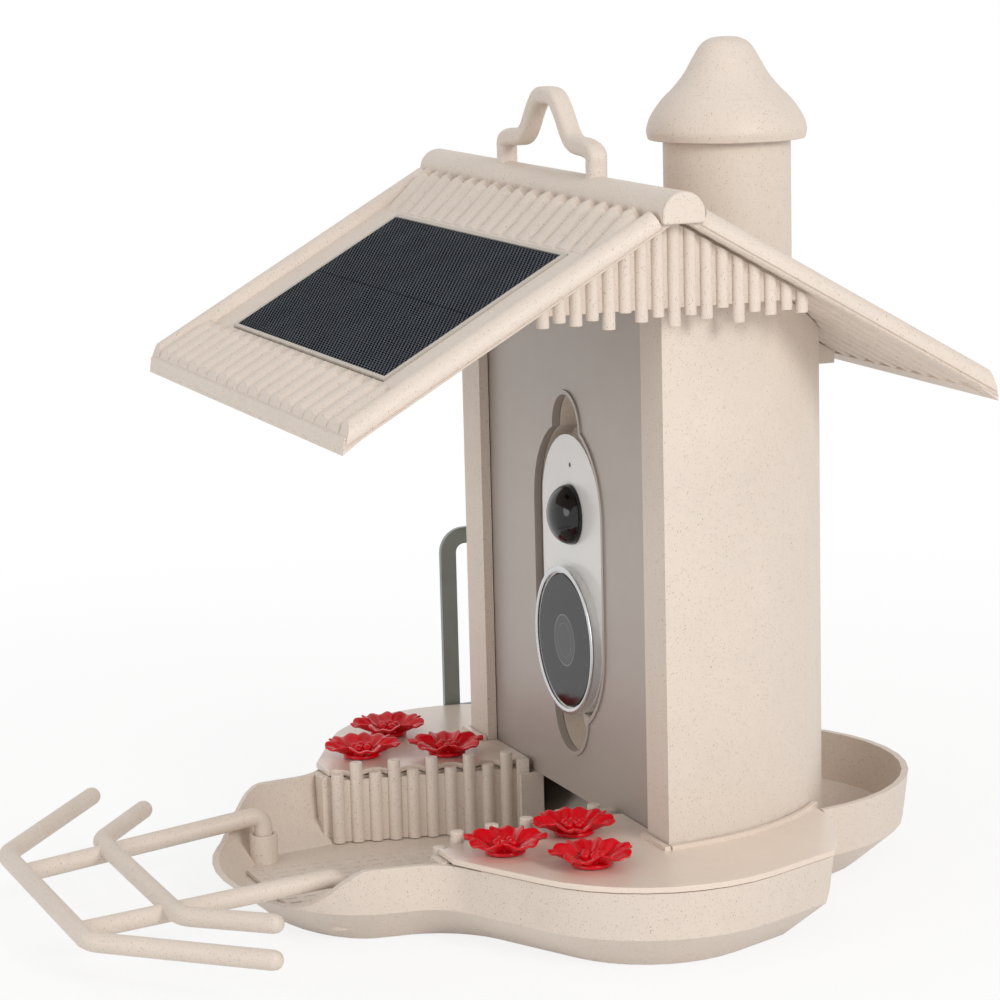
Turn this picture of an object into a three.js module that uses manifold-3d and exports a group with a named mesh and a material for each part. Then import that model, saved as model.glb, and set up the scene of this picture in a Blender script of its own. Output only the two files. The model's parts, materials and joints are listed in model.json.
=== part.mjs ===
// Wild bird feeder with a gabled roof, a seed hopper, a camera module and nectar flowers.
// Millimetres, +Z up. The origin lies at the underside of the base, below the flat front of
// the hopper. The perch points to -Y, and left and right pieces mirror across X = 0.
import * as THREE from 'three';
import { mergeVertices } from 'three/addons/utils/BufferGeometryUtils.js';
import Module from 'manifold-3d';

const wasm = await Module();
wasm.setup();

// Clearances and face counts shared by all pieces
const gap = 0.3;
const looseGap = 0.6;
const overrun = 5;
const facets = { round: 22, rod: 8, screw: 6, arc: 36, column: 60, bow: 4 };

// Base with four lobes: two nectar basins, the front seed tray and the rear bowl
const base = {
  floor: 5, wall: 2.5, crease: 13, creaseInset: 2.2, footInset: 17.5, height: 31.2,
  basinRim: 29.6, frontRim: 29.3, noseRim: 13.2, dipStart: 96, dipEnd: 120, partition: 2.2,
};
const sideLobe = {
  x: 82, y: -2.5, radius: 56, frontTipShares: [-0.16071, -1.20536],
  rearTipShares: [0.6875, 0.91071], bowShares: [0.23214, 1.22321],
  rearEndClear: 2.6, rearEndDegrees: 46.17,
};
const rearBowl = { setback: 33.4, radius: 71.8 };
const frontTray = {
  halfWidth: 66.5, noseHalfWidth: 66, noseDrop: 18, noseLength: 44, fillet: 18, rimStart: -64,
};
const socket = { x: 44.3, y: -101, radius: 5.1, bore: 3.75, top: 15.4, boreFloor: 6.5 };
const notch = { x: 60, y: -84, length: 15, width: 9, height: 2.4 };

// Hopper column, half round in plan, with a slot for the grey front panel
const hopper = {
  radius: 94, wall: 2.4, flange: 18, lip: 3.7, panelPocket: 4.3, postDepth: 9.4,
  bossRadius: 5, bossHeight: 30, bossInset: 6.52, bossDegrees: 62.79, postScrewInset: 8, postScrewY: 5,
};
const panel = { front: 4, thickness: 2.2, bottom: 28.3, rimRise: 0.7, rimWidth: 1.6 };
const outlet = { halfWidth: 35, sillTop: 28 };
const opening = {
  halfWidth: 31, low: 86, high: 134, notchHalfWidth: 12, notchTop: 175.6, tailHalfWidth: 15,
  tailBottom: 44.6,
};
const ramp = { thickness: 2.2, frontY: 9.8, backInset: 5, rise: 57 };

// Gabled roof: two slopes with round ribs, a ridge cap and hanging gable rods
const roof = {
  slope: 29.7, ridge: 250.6, halfLength: 112, thickness: 3, ribHeight: 2.5, ribCount: 17,
  ribInset: 0.8, underRib: 0.8, eaveFoot: 137.8, eaveLean: 4.8, eaveDrop: 3.9, eaveBar: 9,
  vergeWidth: 8.5, beadRise: 4.2, upperRibEnd: 30.4, lowerRibStart: 110, ridgeStart: 9.6,
  ridgeJoint: 0.15,
};
const ridgeCap = { radius: 7.5, centre: 248.8, knobFoot: 245.8, knobThickness: 1.9 };
const fringe = {
  x: 104.4, rod: 4.3, pitch: 5.8, plate: 2, plateFoot: 217.6, hang: 6.2,
  hangShares: [
    0.5968, 0.371, 0.5968, 0.371, 0.9032, 0.0806, 0.629, 0.4194, 0.9677,
    0.4194, 0.6774, 0.1452, 1, 0.4839, 0.7097, 0.5, 0.7097,
  ],
};
const solar = {
  halfWidth: 82, start: 32.2, length: 75, pocket: 2.2, floor: 1, rise: 0.9, rim: 1.5, cellRise: 0.6,
};
const junction = { halfWidth: 16, length: 24, start: 44, depth: 8 };
const hanger = {
  footX: 41.5, shoulderX: 34.5, shoulderZ: 265.4, bendX: 41, bendZ: 263.6, valleyX: 25, valleyZ: 266.1,
  turnX: 19.3, turnZ: 269, slopeX: 12.6, slopeZ: 276.6, crownX: 7, crownZ: 281, topZ: 281.7,
  width: 6.8, depth: 6.2, seat: 3, steps: 36,
};

// Chimney tube and its lift-off cap, whose outlines are shares of its radius and height
const chimney = { setback: 25.5, radius: 23.2, wall: 2.2, top: 265.5 };
const cap = {
  brim: 263.7, shelf: 267.3, radius: 28.9, top: 36.3,
  skirtRadius: 24, plugRadius: 20.6, plugWall: 2.2, plugFoot: 256,
  outerShares: [
    [0.9827, 0], [1, 0.0992], [0.9446, 0.2342], [0.8062, 0.3912], [0.6678, 0.5014],
    [0.5294, 0.6364], [0.4152, 0.7934], [0.3045, 0.9284], [0.1661, 0.989],
  ],
  innerShares: [
    [0.5536, 0.4959], [0.436, 0.6336], [0.3322, 0.7879], [0.2284, 0.8981], [0.1038, 0.9311],
  ],
};
const seal = { inner: 21.2, outer: 23.2 };

// Nectar lids, picket fences and flower ports
const lid = { top: 32, underside: 30, overhang: 0.5, collar: 1.4, collarWidth: 2.2, biteRadius: 4.9 };
const fence = {
  startX: 41, leanX: 13, leanY: -66, rod: 4.65, pitch: 7.09, first: 6, count: 10,
  tall: 35.8, short: 31.5, board: 32.8, boardWidth: 4.6, boardDepth: 2.6, plate: 1.8, plateTop: 29,
  raisedFrom: 46, raisedFoot: 10,
};
const flower = {
  placeShares: [[-0.1429, -0.8839], [-0.3482, -0.3482], [0.3482, -0.5179]], turns: [0.2, 0.9, 0.5],
  hole: 4.5, stem: 4.15, bore: 1.2, stemFoot: 21, collar: 7, collarHeight: 1.1,
  radius: 15.2, valleyShare: 0.74, midRadius: 8.5, midRise: 2.4, tipRise: 6.2, wall: 1.1, petals: 5,
};

// Perch: two rails in the tray sockets, and an outer and an inner chevron bar
const perch = {
  diameter: 6.8, railX: 44.3, legFoot: 7, elbowY: -104.5, elbowZ: 22.7, farX: 38.3, farZ: 13.6,
  bendX: 57.6, barY: -193.4, barZ: 15.9, tipX: 115.6, tipY: -145, tipZ: 18.9,
  innerBendX: 51.4, innerY: -160.2, innerZ: 18.4, innerTipX: 82.3, innerTipY: -134, innerTipZ: 20.4,
  barSteps: 17, railSteps: 12,
};
const drain = {
  halfWidth: 30, front: -112, back: -8, thickness: 1.4, slotLength: 6, slotWidth: 1.4, rows: 9,
  columns: 5,
};

// Camera module: a pill-shaped body with a round front window and a motion sensor dome
const camera = {
  halfWidth: 27, low: 86, high: 134, front: 5, split: 16, back: 27, wall: 1.8, face: 2,
  drumFront: 1.9, drumRadius: 26.6, drumBore: 24.6, drumFloor: 5.6, barrelHole: 9.3,
  bossX: 11, bossDrop: 18.5, bossRadius: 2.8, screwHole: 1.4,
};
const bezel = { outer: 27.1, inner: 25, front: 0.8 };
const glass = { radius: 24.3, front: 1.5, back: 3.2 };
const barrel = { radius: 9, front: 3.5, back: 10.7 };
const ledRing = { outer: 23.9, front: 4.2, back: 5.3, count: 8, led: 1.6, circle: 17 };
const pir = {
  z: 132, radius: 11, rise: 8, neck: 9.9, hole: 10.2, wall: 1.1, sensor: 4.3, sensorFront: 7.9,
};
const board = {
  halfWidth: 24.2, bottom: 82, top: 138, front: 11, thickness: 1.6, tabHalfWidth: 7, tabTop: 156.4,
};
const battery = { halfWidth: 17, bottom: 90, top: 137, thickness: 9 };
const speaker = { radius: 8, z: 79.5, depth: 4 };
const button = { y: 10.5, radius: 2, flange: 3.2, flangeHeight: 1, proud: 1.2, hole: 2.3, travel: 0.8 };
const usb = {
  y: 10.5, halfWidth: 4.7, halfDepth: 1.7, lipHalfWidth: 6, lipHalfDepth: 2.8, lip: 1, plug: 2,
};
const cradle = { sleeve: 27.35, mouthDepth: 16, wall: 2 };

// Steel mounting bracket, rear lug and screws
const bracket = {
  clear: 1.4, thickness: 2.4, nearY: 6, farY: 66, strip: 6.5, top: 103.5, corner: 10, foot: 0.3,
  footEnd: 91, channel: 3, screwX: 100, screwNearY: 16, screwFarY: 38, bossRadius: 4.5, bossTop: 13,
};
const lug = { halfWidth: 11, reach: 12, drop: 4.76, bore: 2.1, screwOut: 6.2, screwLength: 7 };
const screw = { head: 3.4, headHeight: 1.7, shank: 1.5, hole: 1.8, counterbore: 3.8, length: 13 };

const slopeAngle = THREE.MathUtils.degToRad(roof.slope);
const slopeRise = Math.tan(slopeAngle);
const roofUnder = roof.thickness + roof.underRib;

// Places that follow the hopper column and the side lobes
const onColumn = (radius, degrees) => new THREE.Vector2(
  radius * Math.cos(THREE.MathUtils.degToRad(degrees)),
  radius * Math.sin(THREE.MathUtils.degToRad(degrees)),
);
const flangeInner = hopper.radius - hopper.flange;
const rearEnd = onColumn(hopper.radius + sideLobe.rearEndClear, sideLobe.rearEndDegrees);
const boss = onColumn(hopper.radius - hopper.bossInset, hopper.bossDegrees);
const rearBowlY = hopper.radius - rearBowl.setback;
const chimneyY = hopper.radius - chimney.setback;
const bracketInner = sideLobe.x + sideLobe.radius + bracket.clear;
const lugScrewY = hopper.radius + lug.screwOut;
const lugBottom = roof.ridge - roofUnder / Math.cos(slopeAngle)
  - (hopper.radius + lug.reach) * slopeRise - lug.drop;
const ribHalfSpan = roof.halfLength - roof.vergeWidth - roof.ribInset;
const onLobe = ([across, along]) => new THREE.Vector2(
  sideLobe.x + sideLobe.radius * across,
  sideLobe.y + sideLobe.radius * along,
);
const frontTip = onLobe(sideLobe.frontTipShares);
const rearTip = onLobe(sideLobe.rearTipShares);
const noseY = frontTip.y - frontTray.noseDrop;
const bow = onLobe(sideLobe.bowShares);
const flowerPlaces = flower.placeShares.map(onLobe);

// Materials, with colours written as sRGB
const finish = (color, roughness, metalness = 0) =>
  new THREE.MeshStandardMaterial({ color, roughness, metalness });
const materials = {
  beige: finish(0xd9cbb8, 0.62), lidBeige: finish(0xcfc1b0, 0.38), grey: finish(0xaaa299, 0.45),
  flower: finish(0xcf1520, 0.25), white: finish(0xe9eaea, 0.35), silver: finish(0xb9bcbe, 0.3, 1),
  glass: finish(0x35393d, 0.08), dome: finish(0x0c0c0d, 0.08), cells: finish(0x1d2127, 0.35),
  frame: finish(0xaeb0ac, 0.5), steel: finish(0x66756f, 0.4, 0.9), screw: finish(0xb4b4b0, 0.35, 1),
  rubber: finish(0x2b2b2b, 0.8), board: finish(0x1f5a34, 0.55), battery: finish(0x3b5f8f, 0.5),
  dark: finish(0x1c1c1e, 0.55),
};

// Solids: every geometry becomes a closed body that faces outwards
function signedVolume(position, index) {
  const a = new THREE.Vector3();
  const b = new THREE.Vector3();
  const c = new THREE.Vector3();
  let sum = 0;
  for (let i = 0; i < index.length; i += 3) {
    a.fromBufferAttribute(position, index[i]);
    b.fromBufferAttribute(position, index[i + 1]);
    c.fromBufferAttribute(position, index[i + 2]);
    sum += a.dot(b.cross(c));
  }
  return sum;
}

function solid(geometry) {
  const bare = geometry.clone();
  bare.deleteAttribute('normal');
  bare.deleteAttribute('uv');
  const merged = mergeVertices(bare);
  const index = Uint32Array.from(merged.index.array);
  if (signedVolume(merged.attributes.position, index) < 0) {
    for (let i = 0; i < index.length; i += 3) {
      [index[i], index[i + 1]] = [index[i + 1], index[i]];
    }
  }
  const vertProperties = Float32Array.from(merged.attributes.position.array);
  return new wasm.Manifold(new wasm.Mesh({ numProp: 3, vertProperties, triVerts: index }));
}

const join = (first, ...others) => others.reduce((whole, piece) => whole.add(piece), first);
const cut = (first, ...others) => others.reduce((whole, piece) => whole.subtract(piece), first);

function toGeometry(body) {
  const mesh = body.getMesh();
  const geometry = new THREE.BufferGeometry();
  const positions = new Float32Array(mesh.numVert * 3);
  for (let i = 0; i < mesh.numVert; i += 1) {
    positions.set(mesh.vertProperties.subarray(i * mesh.numProp, i * mesh.numProp + 3), i * 3);
  }
  geometry.setAttribute('position', new THREE.BufferAttribute(positions, 3));
  geometry.setIndex(new THREE.BufferAttribute(Uint32Array.from(mesh.triVerts), 1));
  geometry.computeVertexNormals();
  return geometry;
}

const feeder = new THREE.Group();

function place(name, body, material, parent = feeder) {
  const mesh = new THREE.Mesh(toGeometry(body), material);
  mesh.name = name;
  parent.add(mesh);
  return mesh;
}

// Basic forms, all in the feeder's frame
const point = (x, y) => new THREE.Vector2(x, y);
const spot = (x, y, z) => new THREE.Vector3(x, y, z);
const axes = {
  x: [spot(0, 1, 0), spot(0, 0, 1), spot(1, 0, 0)],
  y: [spot(1, 0, 0), spot(0, 0, 1), spot(0, -1, 0)],
  z: [spot(1, 0, 0), spot(0, 1, 0), spot(0, 0, 1)],
};

function extrude(outline, axis, from, to, holes = []) {
  const shape = outline instanceof THREE.Shape ? outline : new THREE.Shape(outline);
  shape.holes.push(...holes.map((hole) => new THREE.Path(hole)));
  const geometry = new THREE.ExtrudeGeometry(shape, {
    depth: to - from, bevelEnabled: false, curveSegments: facets.rod,
  });
  geometry.translate(0, 0, axis === 'y' ? -to : from);
  geometry.applyMatrix4(new THREE.Matrix4().makeBasis(...axes[axis]));
  return solid(geometry);
}

function box(x0, x1, y0, y1, z0, z1) {
  const geometry = new THREE.BoxGeometry(x1 - x0, y1 - y0, z1 - z0);
  geometry.translate((x0 + x1) / 2, (y0 + y1) / 2, (z0 + z1) / 2);
  return solid(geometry);
}

function rod(from, to, radius, sides = facets.rod, endRadius = radius) {
  const along = to.clone().sub(from);
  const geometry = new THREE.CylinderGeometry(endRadius, radius, along.length(), sides);
  geometry.translate(0, along.length() / 2, 0);
  const turn = new THREE.Quaternion().setFromUnitVectors(spot(0, 1, 0), along.normalize());
  geometry.applyQuaternion(turn);
  geometry.translate(from.x, from.y, from.z);
  return solid(geometry);
}

const post = (x, y, z0, z1, radius, sides = facets.rod) =>
  rod(spot(x, y, z0), spot(x, y, z1), radius, sides);
const pin = (x, z, y0, y1, radius, sides = facets.rod) =>
  rod(spot(x, y0, z), spot(x, y1, z), radius, sides);

function ball(centre, radius) {
  const geometry = new THREE.SphereGeometry(radius, facets.rod, facets.screw);
  geometry.translate(centre.x, centre.y, centre.z);
  return solid(geometry);
}

// Body of revolution about a vertical line, from a closed list of radius and height pairs
function revolve(profile, x = 0, y = 0, segments = facets.round) {
  const geometry = new THREE.LatheGeometry(profile.map(([r, z]) => point(r, z)), segments);
  geometry.rotateX(Math.PI / 2);
  geometry.translate(x, y, 0);
  return solid(geometry);
}

// The same about a line along Y, with radius and Y pairs
function revolveY(profile, z, segments = facets.round) {
  const geometry = new THREE.LatheGeometry(profile.map(([r, y]) => point(r, y)), segments);
  geometry.translate(0, 0, z);
  return solid(geometry);
}

const closed = (profile) => [...profile, profile[0]];
const mirrored = (outline) => outline.map((p) => point(-p.x, p.y)).reverse();

function arc(cx, cy, radius, from, to, radiusY = radius, facetCount = facets.arc) {
  const count = Math.max(2, Math.ceil(Math.abs(to - from) / (Math.PI * 2) * facetCount));
  const points = [];
  for (let i = 0; i <= count; i += 1) {
    const angle = from + (to - from) * i / count;
    points.push(point(cx + radius * Math.cos(angle), cy + radiusY * Math.sin(angle)));
  }
  return points;
}

const columnArc = (radius, from, to) => arc(0, 0, radius, from, to, radius, facets.column);

function inset(outline, distance) {
  const count = outline.length;
  return outline.map((corner, i) => {
    const into = corner.clone().sub(outline[(i + count - 1) % count]).normalize();
    const out = outline[(i + 1) % count].clone().sub(corner).normalize();
    const normal = point(-(into.y + out.y), into.x + out.x).normalize();
    const lean = normal.x * -into.y + normal.y * into.x;
    return corner.clone().addScaledVector(normal, distance / lean);
  });
}

function loft(levels) {
  const count = levels[0].outline.length;
  const positions = levels.flatMap(({ outline, z }) => outline.flatMap((p) => [p.x, p.y, z]));
  const indices = [];
  for (let k = 0; k < levels.length - 1; k += 1) {
    for (let i = 0; i < count; i += 1) {
      const a = k * count + i;
      const b = k * count + (i + 1) % count;
      indices.push(a, b, b + count, a, b + count, a + count);
    }
  }
  const last = (levels.length - 1) * count;
  for (const [a, b, c] of THREE.ShapeUtils.triangulateShape(levels[0].outline, [])) {
    indices.push(c, b, a);
  }
  for (const [a, b, c] of THREE.ShapeUtils.triangulateShape(levels[levels.length - 1].outline, [])) {
    indices.push(last + a, last + b, last + c);
  }
  const geometry = new THREE.BufferGeometry();
  geometry.setAttribute('position', new THREE.Float32BufferAttribute(positions, 3));
  geometry.setIndex(indices);
  return solid(geometry);
}

// Everything above the plane that lies a given depth below the flat top of both roof slopes
function aboveRoofPlane(depth) {
  const reach = roof.eaveFoot;
  const peak = roof.ridge - depth / Math.cos(slopeAngle);
  const high = roof.ridge + reach;
  const outline = [
    point(-reach, peak - reach * slopeRise), point(0, peak), point(reach, peak - reach * slopeRise),
    point(reach, high), point(-reach, high),
  ];
  return extrude(outline, 'x', -reach, reach);
}

// Outlines of the base's lobes, drawn for the right side and counter-clockwise
function tangentAngle(tipX, tipY, side, radius) {
  const dx = tipX - sideLobe.x;
  const dy = tipY - sideLobe.y;
  return Math.atan2(dy, dx) + side * Math.acos(radius / Math.hypot(dx, dy));
}

function sideEdge(grow) {
  const radius = sideLobe.radius + grow;
  const front = point(frontTip.x, frontTip.y - grow);
  const rear = point(rearTip.x + grow, rearTip.y + grow);
  return [
    front,
    ...arc(sideLobe.x, sideLobe.y, radius, tangentAngle(front.x, front.y, 1, radius),
      tangentAngle(rear.x, rear.y, -1, radius)),
    rear,
  ];
}

const rearEdge = (drop) => new THREE.QuadraticBezierCurve(
  point(rearTip.x, rearTip.y - drop),
  point(bow.x, bow.y - drop),
  point(rearEnd.x, rearEnd.y - drop),
).getPoints(facets.bow);

const fenceLength = Math.hypot(fence.leanX, fence.leanY);
const fenceAngle = Math.atan2(fence.leanY, fence.leanX);

// A point on the fence line, a distance along it and off it towards the lid
const alongFence = (along, off) => point(
  fence.startX + along * Math.cos(fenceAngle) - off * Math.sin(fenceAngle),
  along * Math.sin(fenceAngle) + off * Math.cos(fenceAngle),
);
const picketPlace = (i) => fence.first + fence.pitch * i;
const isTall = (i) => i % 2 === 0;

// Outer outline of the whole base at its widest level, counter-clockwise from the nose
function baseOutline() {
  const lean = tangentAngle(frontTip.x, frontTip.y, 1, sideLobe.radius) + Math.PI / 2;
  const turn = Math.PI / 2 - lean;
  const cornerY = frontTip.y - (frontTip.x - frontTray.halfWidth) * Math.tan(lean);
  const filletY = cornerY - frontTray.fillet * Math.tan(turn / 2);
  const inBowl = (p) => Math.hypot(p.x, p.y - rearBowlY) < rearBowl.radius;
  const edge = rearEdge(0).slice(1);
  const meet = edge.findIndex(inBowl);
  const joint = edge[meet < 0 ? edge.length - 1 : meet];
  const half = [
    ...arc(0, noseY, frontTray.noseHalfWidth, -Math.PI / 2, 0, frontTray.noseLength),
    ...arc(frontTray.halfWidth + frontTray.fillet, filletY, frontTray.fillet, Math.PI, Math.PI - turn),
    ...sideEdge(0).slice(1), ...edge.slice(0, edge.indexOf(joint)),
    ...arc(0, rearBowlY, rearBowl.radius, Math.atan2(joint.y - rearBowlY, joint.x), Math.PI / 2),
  ];
  return [...half, ...mirrored(half).slice(1, -1)];
}

function bowl(outline, wall, from, to) {
  const insetAt = (z) => (z <= base.crease
    ? base.footInset + (base.creaseInset - base.footInset) * z / base.crease
    : base.creaseInset * (base.height - z) / (base.height - base.crease));
  const levels = [from, base.crease, to].map((z) => ({
    outline: inset(outline, insetAt(z) + wall), z,
  }));
  return loft(levels);
}

function mirrorBoth(outline, build) {
  return [build(outline), build(mirrored(outline))];
}

function makeBase() {
  const outline = baseOutline();
  const envelope = bowl(outline, 0, 0, base.height);
  const core = bowl(outline, base.wall / 2, 0, base.height);
  const reach = sideLobe.x + sideLobe.radius + base.dipEnd;
  const high = base.height + overrun;
  const dip = [point(frontTray.rimStart, high), point(frontTray.rimStart, base.frontRim)];
  for (let i = 0; i <= facets.rod; i += 1) {
    const share = i / facets.rod;
    const drop = (1 - Math.cos(Math.PI * share)) / 2 * (base.frontRim - base.noseRim);
    dip.push(point(-base.dipStart - (base.dipEnd - base.dipStart) * share, base.frontRim - drop));
  }
  dip.push(point(-reach, base.noseRim), point(-reach, high));
  const low = base.floor - gap;
  const sealLine = hopper.radius + looseGap;
  const backing = fence.rod / 2 + gap;
  const fenceEnd = fenceLength + fence.pitch;
  const endLine = alongFence(picketPlace(fence.count - 1), 0).y - fence.rod / 2 - gap;
  const walls = [
    [
      alongFence(0, backing), alongFence(fenceEnd, backing),
      alongFence(fenceEnd, backing + base.partition), alongFence(0, backing + base.partition),
    ],
    [
      point(alongFence(fenceEnd, backing).x, endLine - base.partition),
      point(frontTip.x, endLine - base.partition),
      point(frontTip.x, endLine),
      point(alongFence(fenceEnd, backing).x, endLine),
    ],
    [
      point(alongFence(0, backing + base.partition / 2).x, -looseGap - base.partition),
      point(sealLine + base.partition, -looseGap - base.partition),
      point(sealLine + base.partition, -looseGap),
      point(alongFence(0, backing + base.partition / 2).x, -looseGap),
    ],
    [
      point(outlet.halfWidth + base.partition, panel.front), point(flangeInner - gap, panel.front),
      point(flangeInner - gap, panel.front + panel.thickness),
      point(outlet.halfWidth + base.partition, panel.front + panel.thickness),
    ],
    [
      point(outlet.halfWidth, -looseGap - base.partition),
      point(outlet.halfWidth + base.partition, -looseGap - base.partition),
      point(outlet.halfWidth + base.partition, panel.front + panel.thickness),
      point(outlet.halfWidth, panel.front + panel.thickness),
    ],
  ];
  const ringEnd = Math.atan2(rearEnd.y, rearEnd.x);
  const ring = [
    ...columnArc(sealLine + base.partition, -base.partition / sealLine, ringEnd),
    ...columnArc(sealLine, -base.partition / sealLine, ringEnd).reverse(),
  ];
  const inner = [];
  for (const outline of [...walls, ring]) {
    const top = outline === walls[3] || outline === walls[4] ? outlet.sillTop : base.basinRim;
    inner.push(...mirrorBoth(outline, (edge) => extrude(edge, 'z', low, top)));
  }
  let body = cut(envelope, bowl(outline, base.wall, base.floor, high));
  body = join(body, ...inner.map((wall) => wall.intersect(core)));
  body = cut(body, extrude(dip, 'x', -reach, reach));
  for (const side of [-1, 1]) {
    body = join(body, post(side * socket.x, socket.y, low, socket.top, socket.radius, facets.round));
    body = cut(body, post(side * socket.x, socket.y, socket.boreFloor, socket.top + overrun,
      socket.bore, facets.round));
  }
  for (const y of [bracket.screwNearY, bracket.screwFarY]) {
    body = join(body, post(-bracket.screwX, y, low, bracket.bossTop, bracket.bossRadius));
    body = cut(body, post(-bracket.screwX, y, -overrun, bracket.bossTop - base.wall, screw.hole));
  }
  const lidRoom = [
    ...sideEdge(lid.overhang + gap), ...rearEdge(-lid.overhang - gap).slice(1),
    point(rearEnd.x - lid.collarWidth, rearEnd.y + lid.overhang + gap), point(hopper.radius, 0),
    point(alongFence(0, 0).x, 0), alongFence(fenceEnd, 0),
  ];
  body = cut(body, ...mirrorBoth(lidRoom, (edge) => extrude(edge, 'z', base.basinRim, high)));
  body = cut(
    body,
    box(-bracketInner - overrun, -bracket.footEnd + gap, bracket.nearY - gap, bracket.farY + gap,
      -overrun, bracket.channel),
    box(notch.x, notch.x + notch.length, notch.y - notch.width / 2, notch.y + notch.width / 2,
      -overrun, notch.height),
  );
  for (const [x, y] of basePoints()) {
    body = cut(body, post(x, y, -overrun, base.floor + overrun, screw.hole));
    body = cut(body, post(x, y, -overrun, screw.headHeight + looseGap, screw.counterbore));
  }
  place('base_tray', body, materials.beige);
}

function basePoints() {
  return [-1, 1].flatMap((side) => [
    [side * (hopper.radius - hopper.postScrewInset), hopper.postScrewY],
    [side * boss.x, boss.y],
  ]);
}

function makeDrainGrid() {
  const z0 = base.floor + gap;
  const z1 = z0 + drain.thickness;
  const stepX = drain.halfWidth * 2 / drain.columns;
  const stepY = (drain.back - drain.front) / drain.rows;
  const slots = [];
  for (let row = 0; row < drain.rows; row += 1) {
    for (let column = 0; column < drain.columns; column += 1) {
      const x = -drain.halfWidth + stepX * (column + 0.5);
      const y = drain.front + stepY * (row + 0.5);
      slots.push(box(x - drain.slotWidth / 2, x + drain.slotWidth / 2, y - drain.slotLength / 2,
        y + drain.slotLength / 2, z0 - overrun, z1 + overrun));
    }
  }
  const plate = box(-drain.halfWidth, drain.halfWidth, drain.front, drain.back, z0, z1);
  place('drain_grid', cut(plate, ...slots), materials.beige);
}

// Geometry drawn for the right side, mirrored for the left one
function onSide(body, side) {
  if (side > 0) {
    return body;
  }
  const geometry = toGeometry(body);
  geometry.scale(side, 1, 1);
  return solid(geometry);
}

function makeFences() {
  const foot = base.floor + gap;
  const half = fence.boardWidth / 2;
  const plate = extrude([
    alongFence(0, 0), alongFence(fenceLength + half, 0),
    alongFence(fenceLength + half, fence.plate), alongFence(0, fence.plate),
  ], 'z', foot, fence.plateTop);
  let body = join(plate, extrude([
    alongFence(-half, -fence.boardDepth), alongFence(half, -fence.boardDepth),
    alongFence(half, fence.plate), alongFence(-half, fence.plate),
  ], 'z', foot, fence.board));
  for (let i = 0; i < fence.count; i += 1) {
    const at = alongFence(picketPlace(i), 0);
    body = join(body, post(at.x, at.y, foot, isTall(i) ? fence.tall : fence.short, fence.rod / 2));
  }
  const reach = fence.pitch;
  body = cut(body, extrude([
    alongFence(fence.raisedFrom, -reach), alongFence(fenceLength + reach, -reach),
    alongFence(fenceLength + reach, reach), alongFence(fence.raisedFrom, reach),
  ], 'z', 0, fence.raisedFoot));
  place('picket_fence_right', onSide(body, 1), materials.beige);
  place('picket_fence_left', onSide(body, -1), materials.beige);
}

function makeLids() {
  const edgeOff = fence.plate / 2;
  const columnEdge = hopper.radius + gap;
  const rearAngle = Math.atan2(rearEnd.y, rearEnd.x);
  const outline = [
    ...sideEdge(lid.overhang), ...rearEdge(-lid.overhang).slice(1, -1),
    ...columnArc(columnEdge, rearAngle, 0),
    point(columnEdge, -gap), point(flangeInner - gap, -gap),
    point(flangeInner - gap, panel.front - gap),
    point(alongFence(0, fence.boardWidth).x, panel.front - gap),
    alongFence(fence.boardWidth, edgeOff), alongFence(fenceLength + fence.boardWidth, edgeOff),
  ];
  let body = extrude(outline, 'z', lid.underside, lid.top);
  const collarEdge = columnEdge + gap;
  body = join(
    body,
    extrude([
      ...columnArc(collarEdge + lid.collarWidth, 0, rearAngle),
      ...columnArc(collarEdge, 0, rearAngle).reverse(),
    ], 'z', lid.underside + gap, lid.top + lid.collar),
    box(flangeInner, collarEdge + lid.collarWidth, -looseGap - lid.collarWidth, -looseGap,
      lid.underside + gap, lid.top + lid.collar),
  );
  for (let i = 0; i < fence.count; i += 1) {
    const at = alongFence(picketPlace(i), 0);
    const radius = isTall(i) ? fence.rod / 2 + gap : lid.biteRadius;
    body = cut(body, post(at.x, at.y, lid.underside - overrun, lid.top + overrun, radius));
  }
  for (const { x, y } of flowerPlaces) {
    body = cut(body, post(x, y, lid.underside - overrun, lid.top + overrun, flower.hole));
  }
  place('nectar_lid_right', onSide(body, 1), materials.lidBeige);
  place('nectar_lid_left', onSide(body, -1), materials.lidBeige);
}

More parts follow.
